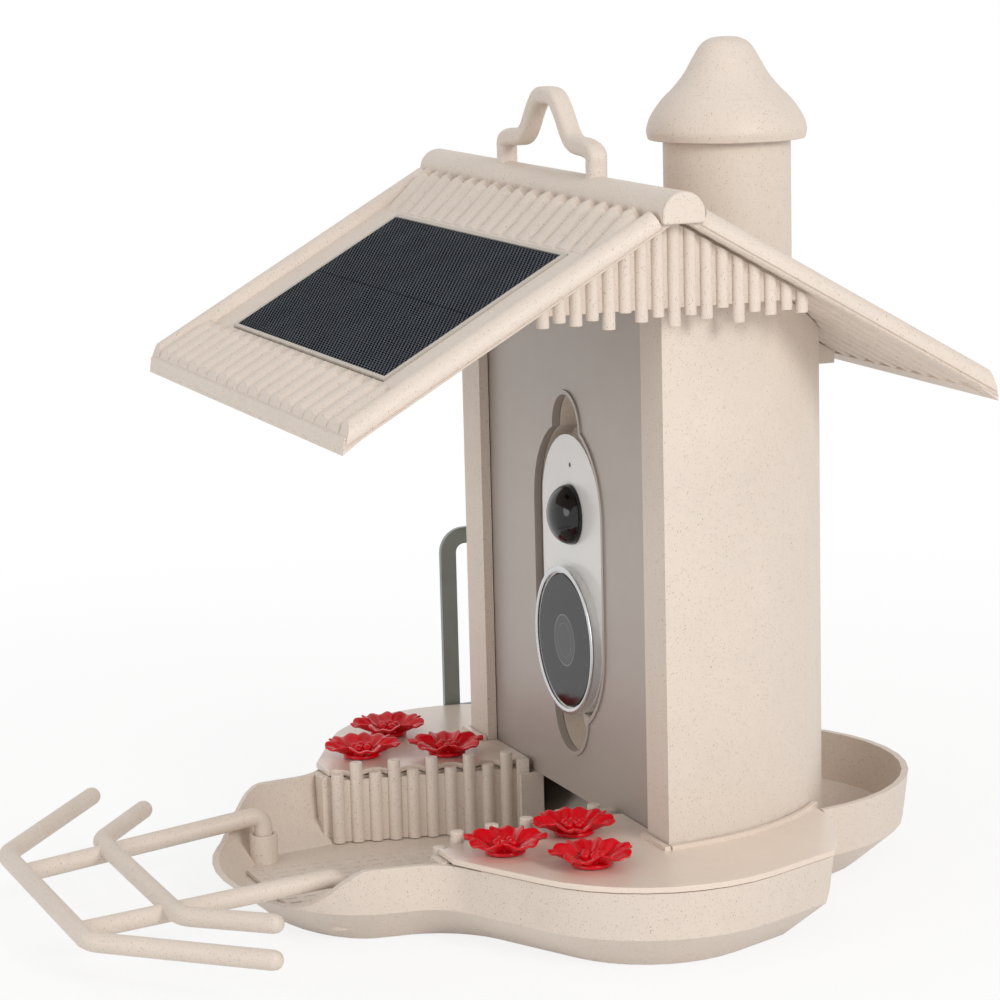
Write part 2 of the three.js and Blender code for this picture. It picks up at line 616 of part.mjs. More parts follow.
// One flower: a cup of five petals on a collar and a hollow feeding stem, in its own frame
function flowerBody() {
  const around = flower.petals * 4;
  const rings = [];
  const ring = (radiusOf, z) => {
    const points = [];
    for (let i = 0; i < around; i += 1) {
      const angle = Math.PI * 2 * i / around;
      const wave = (1 - Math.cos(flower.petals * angle)) / 2;
      const radius = radiusOf(wave);
      points.push([radius * Math.cos(angle), radius * Math.sin(angle), z]);
    }
    rings.push(points);
  };
  const lobed = (radius) => (wave) => radius * (flower.valleyShare + (1 - flower.valleyShare) * wave);
  const level = flower.collarHeight;
  ring(() => flower.bore, flower.stemFoot - lid.top - gap);
  ring(() => flower.stem, flower.stemFoot - lid.top - gap);
  ring(() => flower.stem, 0);
  ring(() => flower.collar, 0);
  ring(() => flower.collar, level);
  ring(lobed(flower.midRadius + flower.wall), level + flower.midRise / 2);
  ring(lobed(flower.radius), level + flower.tipRise - flower.wall / 2);
  ring(lobed(flower.radius - flower.wall / 2), level + flower.tipRise);
  ring(lobed(flower.midRadius), level + flower.midRise);
  ring(() => flower.stem, level + flower.wall);
  ring(() => flower.bore, level + flower.wall);
  const positions = rings.flat(2);
  const indices = [];
  rings.forEach((_, k) => {
    const next = (k + 1) % rings.length;
    for (let i = 0; i < around; i += 1) {
      const j = (i + 1) % around;
      const a = k * around + i;
      const b = k * around + j;
      const c = next * around + i;
      const d = next * around + j;
      indices.push(a, b, d, a, d, c);
    }
  });
  const geometry = new THREE.BufferGeometry();
  geometry.setAttribute('position', new THREE.Float32BufferAttribute(positions, 3));
  geometry.setIndex(indices);
  return solid(geometry);
}

function makeFlowers() {
  const body = flowerBody();
  for (const [name, side] of [['right', 1], ['left', -1]]) {
    flowerPlaces.forEach(({ x, y }, i) => {
      const mesh = place(`flower_port_${name}_${i + 1}`, body, materials.flower);
      mesh.position.set(side * x, y, lid.top + gap);
      mesh.rotation.z = side * flower.turns[i];
    });
  }
}

// Round bar along straight runs with bends
function bentBar(points, radius, sides, steps) {
  const path = new THREE.CatmullRomCurve3(points, false, 'catmullrom', 0);
  const section = [];
  for (let i = 0; i < sides; i += 1) {
    const angle = Math.PI * 2 * i / sides;
    section.push(point(radius * Math.cos(angle), radius * Math.sin(angle)));
  }
  return solid(new THREE.ExtrudeGeometry(new THREE.Shape(section), { steps, extrudePath: path }));
}

function makePerch() {
  const chevron = (half) => bentBar([
    ...half, ...half.slice().reverse().map((p) => spot(-p.x, p.y, p.z)),
  ], perch.diameter / 2, facets.rod, perch.barSteps);
  const rails = [-1, 1].map((side) => bentBar([
    spot(side * perch.railX, socket.y, perch.legFoot), spot(side * perch.railX, socket.y, perch.elbowZ),
    spot(side * perch.railX, perch.elbowY, perch.elbowZ),
    spot(side * perch.farX, perch.barY, perch.farZ),
  ], perch.diameter / 2, facets.screw, perch.railSteps));
  place('perch', join(
    chevron([
      spot(perch.tipX, perch.tipY, perch.tipZ), spot(perch.bendX, perch.barY, perch.barZ),
    ]),
    chevron([
      spot(perch.innerTipX, perch.innerTipY, perch.innerTipZ),
      spot(perch.innerBendX, perch.innerY, perch.innerZ),
    ]),
    ...rails,
  ), materials.beige);
}

function makeHopper() {
  const inner = hopper.radius - hopper.wall;
  const pocket = flangeInner + hopper.panelPocket;
  const behindPanel = panel.front + panel.thickness + gap;
  const postAngle = Math.asin(hopper.postDepth / inner);
  const halfInner = [
    point(flangeInner, 0), point(flangeInner, hopper.lip), point(pocket, hopper.lip),
    point(pocket, behindPanel), point(flangeInner, behindPanel), point(flangeInner, hopper.postDepth),
  ];
  const outline = [
    ...columnArc(hopper.radius, 0, Math.PI),
    ...mirrored(halfInner).reverse(),
    ...columnArc(inner, Math.PI - postAngle, postAngle),
    ...halfInner.slice().reverse(),
  ];
  const foot = base.floor + gap;
  let body = extrude(outline, 'z', foot, roof.ridge);
  const wallOnly = cut(
    post(0, 0, foot, hopper.bossHeight, hopper.radius - hopper.wall / 2, facets.column),
    box(-hopper.radius, hopper.radius, -hopper.radius, 0, foot - overrun, hopper.bossHeight + overrun),
  );
  for (const side of [-1, 1]) {
    const column = post(side * boss.x, boss.y, foot, hopper.bossHeight, hopper.bossRadius);
    body = join(body, column.intersect(wallOnly));
  }
  body = cut(body, aboveRoofPlane(roofUnder + gap));
  const tray = bowl(baseOutline(), base.wall + gap, foot, base.height);
  const aroundTray = cut(
    box(-hopper.radius, hopper.radius, 0, hopper.radius, foot, base.height),
    tray,
  );
  body = cut(body, aroundTray);
  for (const [x, y] of basePoints()) {
    body = cut(body, post(x, y, foot - overrun, screw.length + overrun, screw.hole));
  }
  body = cut(body, pin(0, lugBottom + overrun, hopper.radius - overrun, hopper.radius + overrun,
    screw.hole));
  place('hopper_shell', body, materials.beige);
}

// Pill outline in X and Z, round at both ends
const pill = (halfWidth) => [
  ...arc(0, opening.low, halfWidth, Math.PI, Math.PI * 2),
  ...arc(0, opening.high, halfWidth, 0, Math.PI),
];

// Keyhole outline: the pill with a finger notch on top and a tail below
function keyhole(grow, from, to) {
  const notchRadius = opening.notchHalfWidth + grow;
  const tailRadius = opening.tailHalfWidth + grow;
  const notchOutline = [
    ...arc(0, opening.notchTop - opening.notchHalfWidth, notchRadius, 0, Math.PI),
    point(-notchRadius, opening.high), point(notchRadius, opening.high),
  ];
  const tailOutline = [
    ...arc(0, opening.tailBottom + opening.tailHalfWidth, tailRadius, Math.PI, Math.PI * 2),
    point(tailRadius, opening.low), point(-tailRadius, opening.low),
  ];
  return join(
    extrude(pill(opening.halfWidth + grow), 'y', from, to),
    extrude(notchOutline, 'y', from, to),
    extrude(tailOutline, 'y', from, to),
  );
}

function makePanel() {
  const back = panel.front + panel.thickness;
  const half = flangeInner + hopper.panelPocket - gap;
  let body = join(
    box(-half, half, panel.front, back, panel.bottom, roof.ridge),
    keyhole(panel.rimWidth, panel.front - panel.rimRise, back),
  );
  body = cut(body, keyhole(0, panel.front - overrun, back + overrun), aboveRoofPlane(roofUnder + gap));
  place('front_panel', body, materials.grey);
}

function makeCradle() {
  const front = panel.front + panel.thickness + gap;
  const back = camera.back + gap;
  const floor = back + cradle.wall;
  const mouth = cut(
    keyhole(cradle.wall, front, cradle.mouthDepth),
    keyhole(0, front - overrun, cradle.mouthDepth - cradle.wall),
  );
  let body = join(mouth, extrude(pill(cradle.sleeve + cradle.wall), 'y',
    cradle.mouthDepth - cradle.wall, floor));
  body = cut(body, extrude(pill(cradle.sleeve), 'y', front - overrun, back));
  place('camera_cradle', body, materials.grey);
}

function makeRamp() {
  const rampBack = hopper.radius - ramp.backInset;
  const foot = base.floor + gap;
  const top = foot + ramp.rise;
  const outline = [
    point(ramp.frontY, foot), point(rampBack, top),
    point(rampBack, top + ramp.thickness), point(ramp.frontY, foot + ramp.thickness),
  ];
  const reach = hopper.radius;
  const inside = post(0, 0, 0, reach, hopper.radius - hopper.wall - looseGap, facets.column);
  place('seed_ramp', extrude(outline, 'x', -reach, reach).intersect(inside), materials.beige);
}

function makeChimney() {
  const inner = chimney.radius - chimney.wall;
  const low = roof.ridge - roof.eaveFoot;
  const tube = revolve(closed([[inner, low], [chimney.radius, low], [chimney.radius, chimney.top],
    [inner, chimney.top]]), 0, chimneyY);
  place('chimney_tube', tube.intersect(aboveRoofPlane(roofUnder)), materials.beige);
  const rise = ([across, up]) => [cap.radius * across, cap.brim + cap.top * up];
  const plugInner = cap.plugRadius - cap.plugWall;
  const profile = [
    [cap.skirtRadius, cap.brim], ...cap.outerShares.map(rise), [0, cap.brim + cap.top],
    [0, cap.brim + cap.top - cap.plugWall], ...cap.innerShares.map(rise).reverse(),
    [plugInner, cap.shelf + cap.plugWall], [plugInner, cap.plugFoot], [cap.plugRadius, cap.plugFoot],
    [cap.plugRadius, cap.shelf], [cap.skirtRadius, cap.shelf],
  ];
  place('chimney_cap', revolve(closed(profile), 0, chimneyY), materials.beige);
  const sealFoot = chimney.top + gap;
  const sealTop = cap.shelf - gap;
  place('cap_seal', revolve(closed([
    [seal.inner, sealFoot], [seal.outer, sealFoot], [seal.outer, sealTop], [seal.inner, sealTop],
  ]), 0, chimneyY), materials.rubber);
}

// One roof slope in its own frame: x along the ridge, y up the slope, z off the slope
function ribbedSheet(height, from, to) {
  const pitch = ribHalfSpan * 2 / roof.ribCount;
  const outline = [point(-ribHalfSpan, -Math.sign(height) * roof.thickness / 2)];
  for (let i = 0; i < roof.ribCount; i += 1) {
    const centre = -ribHalfSpan + pitch * (i + 0.5);
    for (let k = 0; k < facets.screw / 2; k += 1) {
      const angle = Math.PI * (1 - k / (facets.screw / 2));
      outline.push(point(centre + pitch / 2 * Math.cos(angle), height * Math.sin(angle)));
    }
  }
  outline.push(point(ribHalfSpan, 0), point(ribHalfSpan,
    -Math.sign(height) * roof.thickness / 2));
  return extrude(outline, 'y', -to, -from);
}

function slopeBody(ribBands) {
  const end = roof.eaveFoot + overrun;
  const half = roof.halfLength;
  const inner = half - roof.vergeWidth;
  const ridgeAt = (n) => -(roof.ridgeJoint - n * Math.sin(slopeAngle)) / Math.cos(slopeAngle);
  const slab = extrude([
    point(ridgeAt(0), 0), point(-end, 0), point(-end, -roof.thickness),
    point(ridgeAt(-roof.thickness), -roof.thickness),
  ], 'x', -half, half);
  const bar = box(-inner, inner, -end, -roof.eaveFoot + roof.eaveBar, -roof.eaveDrop - overrun,
    -roof.thickness / 2);
  const pieces = [slab, bar];
  for (const [from, to] of ribBands) {
    pieces.push(ribbedSheet(roof.ribHeight, from, to));
  }
  const under = ribbedSheet(-roof.underRib, roof.ridgeStart, roof.eaveFoot - roof.eaveBar / 2);
  const shift = toGeometry(under);
  shift.translate(0, 0, -roof.thickness);
  pieces.push(solid(shift));
  const bead = roof.vergeWidth / 2;
  for (const side of [-1, 1]) {
    const outline = arc(side * (half - bead), 0, bead, 0, Math.PI, roof.beadRise);
    pieces.push(extrude([
      ...outline, point(side * (half - bead) - bead, -roof.thickness / 2),
      point(side * (half - bead) + bead, -roof.thickness / 2),
    ], 'y', -end, -roof.ridgeStart));
  }
  const leanOut = roof.eaveLean / (roof.ribHeight + roof.eaveDrop);
  const eaveAt = (n) => -roof.eaveFoot + leanOut * (n + roof.eaveDrop);
  const high = roof.beadRise + overrun;
  const low = -roof.eaveDrop - overrun - overrun;
  const beyond = extrude([
    point(eaveAt(high), high), point(eaveAt(low), low), point(-end - overrun - overrun, low),
    point(-end - overrun - overrun, high),
  ], 'x', -half - overrun, half + overrun);
  const below = box(-half, half, -end, 0, low, -roof.eaveDrop);
  return cut(join(...pieces), beyond, below);
}

function makeRoof() {
  const front = new THREE.Group();
  front.position.z = roof.ridge;
  front.rotation.x = slopeAngle;
  const rear = new THREE.Group();
  rear.position.z = roof.ridge;
  rear.rotation.set(-slopeAngle, 0, Math.PI, 'XYZ');
  feeder.add(front, rear);

  const solarEnd = solar.start + solar.length;
  let body = slopeBody([[roof.ridgeStart, roof.upperRibEnd],
    [roof.lowerRibStart, roof.eaveFoot + overrun]]);
  body = cut(body, box(
    -solar.halfWidth - gap, solar.halfWidth + gap, -solarEnd - gap, -solar.start + gap,
    -solar.pocket, roof.ribHeight,
  ));
  place('roof_front_slope', body, materials.beige, front);

  let frame = box(-solar.halfWidth, solar.halfWidth, -solarEnd, -solar.start, -solar.pocket + gap,
    solar.rise);
  frame = cut(frame, box(
    -solar.halfWidth + solar.rim, solar.halfWidth - solar.rim, -solarEnd + solar.rim,
    -solar.start - solar.rim,
    -solar.pocket + gap + solar.floor, solar.rise + overrun,
  ));
  place('solar_frame', frame, materials.frame, front);
  const cellEdge = solar.rim + gap;
  place('solar_cells', box(
    -solar.halfWidth + cellEdge, solar.halfWidth - cellEdge, -solarEnd + cellEdge,
    -solar.start - cellEdge,
    -solar.pocket + looseGap + solar.floor, solar.cellRise,
  ), materials.cells, front);
  place('solar_junction_box', box(
    -junction.halfWidth, junction.halfWidth, -junction.start - junction.length, -junction.start,
    -roofUnder - gap - junction.depth, -roofUnder - gap,
  ), materials.dark, front);

  const hole = post(0, chimneyY, roof.ridge - roof.eaveFoot, roof.ridge + overrun,
    chimney.radius + gap, facets.round);
  const inRear = new THREE.Matrix4().compose(rear.position, rear.quaternion, rear.scale).invert();
  const holeGeometry = toGeometry(hole);
  holeGeometry.applyMatrix4(inRear);
  const rearBody = cut(slopeBody([[roof.ridgeStart, roof.eaveFoot + overrun]]), solid(holeGeometry));
  place('roof_rear_slope', rearBody, materials.beige, rear);
}

function makeRidge() {
  const radius = ridgeCap.radius;
  const seat = roof.ridge + gap / Math.cos(slopeAngle);
  const outline = [
    point(0, seat), point(radius, seat - radius * slopeRise),
    ...arc(0, ridgeCap.centre, radius, 0, Math.PI), point(-radius, seat - radius * slopeRise),
  ];
  const inner = roof.halfLength + gap;
  let body = extrude(outline, 'x', -inner - gap, inner + gap);
  const knob = [...arc(0, ridgeCap.centre, radius, 0, Math.PI), point(-radius, ridgeCap.knobFoot),
    point(radius, ridgeCap.knobFoot)];
  body = join(
    body,
    extrude(knob, 'x', inner, inner + ridgeCap.knobThickness),
    extrude(knob, 'x', -inner - ridgeCap.knobThickness, -inner),
  );
  const footHalf = hanger.width / 2 + gap;
  const footTop = ridgeCap.centre + radius;
  for (const side of [-1, 1]) {
    const x = side * hanger.footX;
    body = cut(body, box(x - footHalf, x + footHalf, -hanger.depth / 2 - gap, hanger.depth / 2 + gap,
      footTop - hanger.seat - gap, footTop + overrun));
  }
  place('ridge_cap', body, materials.beige);

  const half = [
    spot(hanger.footX, 0, footTop - hanger.seat), spot(hanger.footX, 0, footTop + hanger.seat),
    spot(hanger.bendX, 0, hanger.bendZ), spot(hanger.shoulderX, 0, hanger.shoulderZ),
    spot(hanger.valleyX, 0, hanger.valleyZ), spot(hanger.turnX, 0, hanger.turnZ),
    spot(hanger.slopeX, 0, hanger.slopeZ), spot(hanger.crownX, 0, hanger.crownZ),
  ];
  const path = new THREE.CatmullRomCurve3([
    ...half, spot(0, 0, hanger.topZ), ...half.slice().reverse().map((p) => spot(-p.x, 0, p.z)),
  ], false, 'centripetal');
  const w = hanger.width / 2;
  const d = hanger.depth / 2;
  const chamfer = w / 3;
  const section = [
    point(-w + chamfer, -d), point(w - chamfer, -d), point(w, -d + chamfer), point(w, d - chamfer),
    point(w - chamfer, d), point(-w + chamfer, d), point(-w, d - chamfer), point(-w, -d + chamfer),
  ];
  const loop = new THREE.ExtrudeGeometry(new THREE.Shape(section),
    { steps: hanger.steps, extrudePath: path });
  place('hanger_loop', solid(loop), materials.beige);
}

function makeFringes() {
  const radius = fringe.rod / 2;
  const low = fringe.plateFoot;
  const plateHalf = (roof.ridge - (roofUnder + gap) / Math.cos(slopeAngle) - low) / slopeRise;
  const plate = box(fringe.x - fringe.plate, fringe.x, -plateHalf, plateHalf, low, roof.ridge);
  const rods = fringe.hangShares.map((share, i) => {
    const y = fringe.pitch * (i - (fringe.hangShares.length - 1) / 2);
    return post(fringe.x, y, low - fringe.hang * share, roof.ridge, radius, facets.screw);
  });
  const body = cut(join(plate, ...rods), aboveRoofPlane(roofUnder + gap));
  place('gable_fringe_right', onSide(body, 1), materials.beige);
  place('gable_fringe_left', onSide(body, -1), materials.beige);
}

function screwBody(length) {
  return revolve([
    [0, 0], [screw.head, 0], [screw.head, screw.headHeight], [screw.shank, screw.headHeight],
    [screw.shank, length], [0, length],
  ], 0, 0, facets.screw);
}

function makeLug() {
  const front = hopper.radius + gap;
  let body = box(-lug.halfWidth, lug.halfWidth, hopper.radius - overrun,
    hopper.radius + lug.reach, lugBottom, roof.ridge);
  const column = post(0, 0, 0, roof.ridge + overrun, front, facets.column);
  body = cut(body, column, aboveRoofPlane(roofUnder + gap),
    post(0, lugScrewY, lugBottom - overrun, roof.ridge, lug.bore));
  place('rear_roof_lug', body, materials.beige);
  const mesh = place('rear_lug_screw', screwBody(lug.screwLength), materials.screw);
  mesh.position.set(0, lugScrewY, lugBottom - screw.headHeight - gap);
}

function makeBracket() {
  const outer = bracketInner + bracket.thickness;
  const corner = bracket.corner;
  const innerCorner = corner - bracket.strip;
  const loop = (near, far, top, radius, bottom) => [
    point(far, bottom), ...arc(far - radius, top - radius, radius, 0, Math.PI / 2),
    ...arc(near + radius, top - radius, radius, Math.PI / 2, Math.PI), point(near, bottom),
  ];
  const outline = loop(bracket.nearY, bracket.farY, bracket.top, corner, bracket.foot);
  const hole = loop(bracket.nearY + bracket.strip, bracket.farY - bracket.strip,
    bracket.top - bracket.strip, innerCorner, base.height);
  let body = extrude(outline, 'x', -outer, -bracketInner, [hole]);
  body = join(body, box(
    -outer, -bracket.footEnd, bracket.nearY, bracket.farY, bracket.foot,
    bracket.foot + bracket.thickness,
  ));
  for (const [i, y] of [bracket.screwNearY, bracket.screwFarY].entries()) {
    body = cut(
      body,
      post(-bracket.screwX, y, -overrun, overrun, screw.hole),
      post(-bracket.screwX, y, -overrun, bracket.foot + screw.headHeight, screw.counterbore),
    );
    const mesh = place(`bracket_screw_${i + 1}`,
      screwBody(bracket.bossTop - base.wall - looseGap), materials.screw);
    mesh.position.set(-bracket.screwX, y, gap);
  }
  place('mount_bracket', body, materials.steel);
}

function makeBaseScrews() {
  basePoints().forEach(([x, y], i) => {
    const mesh = place(`base_screw_${i + 1}`, screwBody(screw.length), materials.screw);
    mesh.position.set(x, y, gap);
  });
}

const cameraPill = (halfWidth) => [
  ...arc(0, camera.low, halfWidth, Math.PI, Math.PI * 2), ...arc(0, camera.high, halfWidth, 0, Math.PI),
];
const cameraBosses = () => [-1, 1].flatMap((side) => [
  [side * camera.bossX, camera.high + camera.bossDrop],
  [side * camera.bossX, camera.low - camera.bossDrop],
]);

function makeCameraShells() {
  const inside = camera.halfWidth - camera.wall;
  const top = camera.high + camera.halfWidth;
  const bottom = camera.low - camera.halfWidth;
  let front = cut(
    extrude(cameraPill(camera.halfWidth), 'y', camera.front, camera.split),
    extrude(cameraPill(inside), 'y', camera.front + camera.face, camera.split + overrun),
  );
  front = join(
    front,
    pin(0, camera.low, camera.drumFront, camera.drumFloor + camera.wall, camera.drumRadius,
      facets.round),
    ...cameraBosses().map(([x, z]) => pin(x, z, camera.front + camera.face / 2, camera.split,
      camera.bossRadius)),
  );
  front = cut(
    front,
    pin(0, camera.low, camera.drumFront - overrun, camera.drumFloor, camera.drumBore, facets.round),
    pin(0, camera.low, 0, camera.split, camera.barrelHole, facets.round),
    pin(0, pir.z, 0, camera.split, pir.hole, facets.round),
    ...cameraBosses().map(([x, z]) => pin(x, z, camera.front + camera.face,
      camera.split + overrun, camera.screwHole)),
    post(0, button.y, top - overrun, top + overrun, button.hole),
    box(-usb.halfWidth - gap, usb.halfWidth + gap, usb.y - usb.halfDepth - gap,
      usb.y + usb.halfDepth + gap,
      bottom - overrun, bottom + camera.wall + overrun / 2),
  );
  place('camera_front_shell', front, materials.white);

  const start = camera.split + gap;
  let back = cut(
    extrude(cameraPill(camera.halfWidth), 'y', start, camera.back),
    extrude(cameraPill(inside), 'y', start - overrun, camera.back - camera.face),
  );
  back = join(back, ...cameraBosses().map(([x, z]) => pin(x, z, start,
    camera.back - camera.face / 2, camera.bossRadius)));
  for (const [x, z] of cameraBosses()) {
    back = cut(back, pin(x, z, start - overrun, camera.back + overrun, camera.screwHole));
    back = cut(back, pin(x, z, camera.back - camera.face, camera.back + overrun,
      camera.bossRadius - looseGap));
  }
  place('camera_back_shell', back, materials.white);
}

function cameraScrews() {
  const head = camera.bossRadius - looseGap - gap;
  const shank = camera.screwHole - gap;
  const length = camera.back - camera.front - camera.face * 2;
  const profile = [[0, 0], [shank, 0], [shank, length - head / 2], [head, length - head / 2],
    [head, length], [0, length]];
  const body = revolveY(profile, 0, facets.screw);
  cameraBosses().forEach(([x, z], i) => {
    const mesh = place(`camera_screw_${i + 1}`, body, materials.screw);
    mesh.position.set(x, camera.back - gap - length, z);
  });
}

function makeCameraFront() {
  place('camera_bezel', revolveY(closed([
    [bezel.inner, camera.drumFront - gap], [bezel.outer - looseGap, camera.drumFront - gap],
    [bezel.outer, camera.drumFront - looseGap], [bezel.outer - gap, bezel.front + gap / 2],
    [bezel.outer - looseGap - gap, bezel.front], [bezel.inner, bezel.front + gap],
  ]), camera.low), materials.silver);
  place('camera_glass', pin(0, camera.low, glass.front, glass.back, glass.radius, facets.round),
    materials.glass);
  place('lens_barrel', pin(0, camera.low, barrel.front, barrel.back, barrel.radius, facets.round),
    materials.dark);
  let ring = revolveY(closed([
    [camera.barrelHole, ledRing.front], [ledRing.outer, ledRing.front],
    [ledRing.outer, ledRing.back], [camera.barrelHole, ledRing.back],
  ]), camera.low);
  for (let i = 0; i < ledRing.count; i += 1) {
    const angle = Math.PI * 2 * (i + 0.5) / ledRing.count;
    const x = ledRing.circle * Math.cos(angle);
    const z = camera.low + ledRing.circle * Math.sin(angle);
    ring = join(ring, pin(x, z, glass.back + gap, ledRing.back, ledRing.led, facets.screw));
  }
  place('ir_led_ring', ring, materials.board);

  const seat = camera.front - gap;
  const profile = [];
  const curve = (radius, rise, from, to) => {
    for (let i = 0; i <= facets.screw; i += 1) {
      const angle = from + (to - from) * i / facets.screw;
      profile.push([radius * Math.cos(angle), seat - rise * Math.sin(angle)]);
    }
  };
  curve(pir.radius, pir.rise, 0, Math.PI / 2);
  curve(pir.neck - pir.wall, pir.rise - pir.wall, Math.PI / 2, 0);
  profile.push([pir.neck - pir.wall, camera.front + camera.face],
    [pir.neck, camera.front + camera.face], [pir.neck, seat]);
  profile[facets.screw][0] = 0;
  profile[facets.screw + 1][0] = 0;
  place('pir_dome', revolveY(closed(profile), pir.z), materials.dome);
  place('pir_sensor', pin(0, pir.z, pir.sensorFront, board.front - gap, pir.sensor), materials.silver);
}

function makeCameraInside() {
  const back = board.front + board.thickness;
  place('camera_board', join(
    box(-board.halfWidth, board.halfWidth, board.front, back, board.bottom, board.top),
    box(-board.tabHalfWidth, board.tabHalfWidth, board.front, back, board.top - overrun, board.tabTop),
  ), materials.board);
  place('battery_pack', box(
    -battery.halfWidth, battery.halfWidth, back + gap, back + gap + battery.thickness,
    battery.bottom, battery.top,
  ), materials.battery);
  place('speaker', pin(0, speaker.z, back + gap, back + gap + speaker.depth, speaker.radius),
    materials.dark);

  const top = camera.high + camera.halfWidth;
  const ceiling = top - camera.wall - looseGap;
  place('power_button', join(
    post(0, button.y, ceiling - button.flangeHeight, top + button.proud, button.radius),
    post(0, button.y, ceiling - button.flangeHeight, ceiling, button.flange),
  ), materials.dark);
  const bottom = camera.low - camera.halfWidth;
  place('usb_cover', join(
    box(-usb.halfWidth, usb.halfWidth, usb.y - usb.halfDepth, usb.y + usb.halfDepth,
      bottom - gap - usb.lip, bottom + usb.plug),
    box(-usb.lipHalfWidth, usb.lipHalfWidth, usb.y - usb.lipHalfDepth, usb.y + usb.lipHalfDepth,
      bottom - gap - usb.lip, bottom - gap),
  ), materials.rubber);
}

makeBase();
makeDrainGrid();
makeFences();
makeLids();
makeFlowers();
makePerch();
makeHopper();
makePanel();
makeCradle();
makeRamp();
makeChimney();
makeRoof();
makeRidge();
makeFringes();
makeLug();
makeBracket();
makeBaseScrews();
makeCameraShells();
cameraScrews();
makeCameraFront();
makeCameraInside();

export default feeder;
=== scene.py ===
# Bird feeder with a camera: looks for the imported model, in metres
import bpy
import json
import math
from mathutils import Matrix, Vector
from mathutils.bvhtree import BVHTree

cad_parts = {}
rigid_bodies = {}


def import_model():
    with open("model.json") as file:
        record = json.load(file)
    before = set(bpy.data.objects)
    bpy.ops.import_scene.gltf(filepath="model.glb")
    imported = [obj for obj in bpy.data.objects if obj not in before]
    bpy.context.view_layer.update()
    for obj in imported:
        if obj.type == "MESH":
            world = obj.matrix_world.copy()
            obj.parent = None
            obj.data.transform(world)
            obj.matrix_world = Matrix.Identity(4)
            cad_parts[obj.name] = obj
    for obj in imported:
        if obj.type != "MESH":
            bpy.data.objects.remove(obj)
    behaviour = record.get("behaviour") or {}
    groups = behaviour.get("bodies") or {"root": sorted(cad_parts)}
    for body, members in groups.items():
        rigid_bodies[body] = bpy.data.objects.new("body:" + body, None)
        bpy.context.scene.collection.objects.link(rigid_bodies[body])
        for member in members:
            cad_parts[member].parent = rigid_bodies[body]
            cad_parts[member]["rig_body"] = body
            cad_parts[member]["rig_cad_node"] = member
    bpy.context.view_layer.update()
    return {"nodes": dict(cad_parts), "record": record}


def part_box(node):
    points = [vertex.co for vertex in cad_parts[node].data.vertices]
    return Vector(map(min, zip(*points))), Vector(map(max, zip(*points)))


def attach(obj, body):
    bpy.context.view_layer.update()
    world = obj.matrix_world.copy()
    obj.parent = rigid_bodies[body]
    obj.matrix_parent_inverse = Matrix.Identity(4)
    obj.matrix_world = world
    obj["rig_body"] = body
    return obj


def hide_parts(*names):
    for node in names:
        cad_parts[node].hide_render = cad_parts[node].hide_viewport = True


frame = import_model()
bpy.ops.object.select_all(action="DESELECT")
mm = 0.001
weld = 0.000004  # points nearer than this become one
shared = {"slope": 29.7, "ridge": 250.6, "windowZ": 86}  # degrees and millimetres, for shapes and finishes
slotOfNode = {part["node"]: part["material_slot"] for part in frame["record"]["subparts"]}
bodies = frame["record"]["behaviour"]["bodies"]
bodyOfNode = {name: body for body, names in bodies.items() for name in names}
print("frame loaded:", len(frame["nodes"]), "nodes")


# small helpers: selecting, shaping and finishing pieces
def pick(*objects):
    if bpy.context.object and bpy.context.object.mode != "OBJECT":
        bpy.ops.object.mode_set(mode="OBJECT")
    bpy.ops.object.select_all(action="DESELECT")
    for each in objects:
        each.select_set(True)
    bpy.context.view_layer.objects.active = objects[0]


def editAll(piece):  # edit mode with everything selected
    pick(piece)
    bpy.ops.object.mode_set(mode="EDIT")
    bpy.ops.mesh.select_all(action="SELECT")


def scaled(*points):  # millimetres to metres
    return [tuple(value * mm for value in point) for point in points]


def settle(piece):  # place, turn and scale go into the mesh
    pick(piece)
    bpy.ops.object.transform_apply(location=True, rotation=True, scale=True)
    return piece


def joined(name, *pieces):
    pick(*pieces)
    if len(pieces) > 1:
        bpy.ops.object.join()
    whole = bpy.context.object
    whole.name = name
    whole.data.name = name
    return whole


def addModifier(piece, kind, **values):
    modifier = piece.modifiers.new(kind.title(), kind)
    for key, value in values.items():
        setattr(modifier, key, value)
    pick(piece)
    bpy.ops.object.modifier_apply(modifier=modifier.name)
    return piece


def softenEdges(piece, width, segments=2, angle=35):
    return addModifier(piece, "BEVEL", width=width, segments=segments, limit_method="ANGLE",
                       angle_limit=math.radians(angle), use_clamp_overlap=True)


def smooth(piece, angle):
    pick(piece)
    bpy.ops.object.shade_smooth_by_angle(angle=math.radians(angle))
    return piece


def evened(piece):  # large flat faces keep their own shading beside soft edges
    return addModifier(piece, "WEIGHTED_NORMAL", keep_sharp=True, weight=50)


def outward(piece):
    editAll(piece)
    bpy.ops.mesh.remove_doubles(threshold=weld)
    bpy.ops.mesh.normals_make_consistent(inside=False)
    bpy.ops.object.mode_set(mode="OBJECT")
    return piece


def chooseFaces(piece, test):  # ends in edit mode with the faces that pass selected
    pick(piece)
    bpy.ops.object.mode_set(mode="EDIT")
    bpy.ops.mesh.select_mode(type="FACE")
    bpy.ops.mesh.select_all(action="DESELECT")
    bpy.ops.object.mode_set(mode="OBJECT")
    for face in piece.data.polygons:
        face.select = test(face)
    bpy.ops.object.mode_set(mode="EDIT")


def trimmed(piece, point, normal):  # what lies on the normal's side of the plane goes
    editAll(piece)
    bpy.ops.mesh.bisect(plane_co=point, plane_no=normal, use_fill=True, clear_outer=True)
    bpy.ops.object.mode_set(mode="OBJECT")
    return piece


def carved(piece, tool):
    addModifier(piece, "BOOLEAN", operation="DIFFERENCE", object=tool, solver="EXACT")
    bpy.data.objects.remove(tool)
    return piece


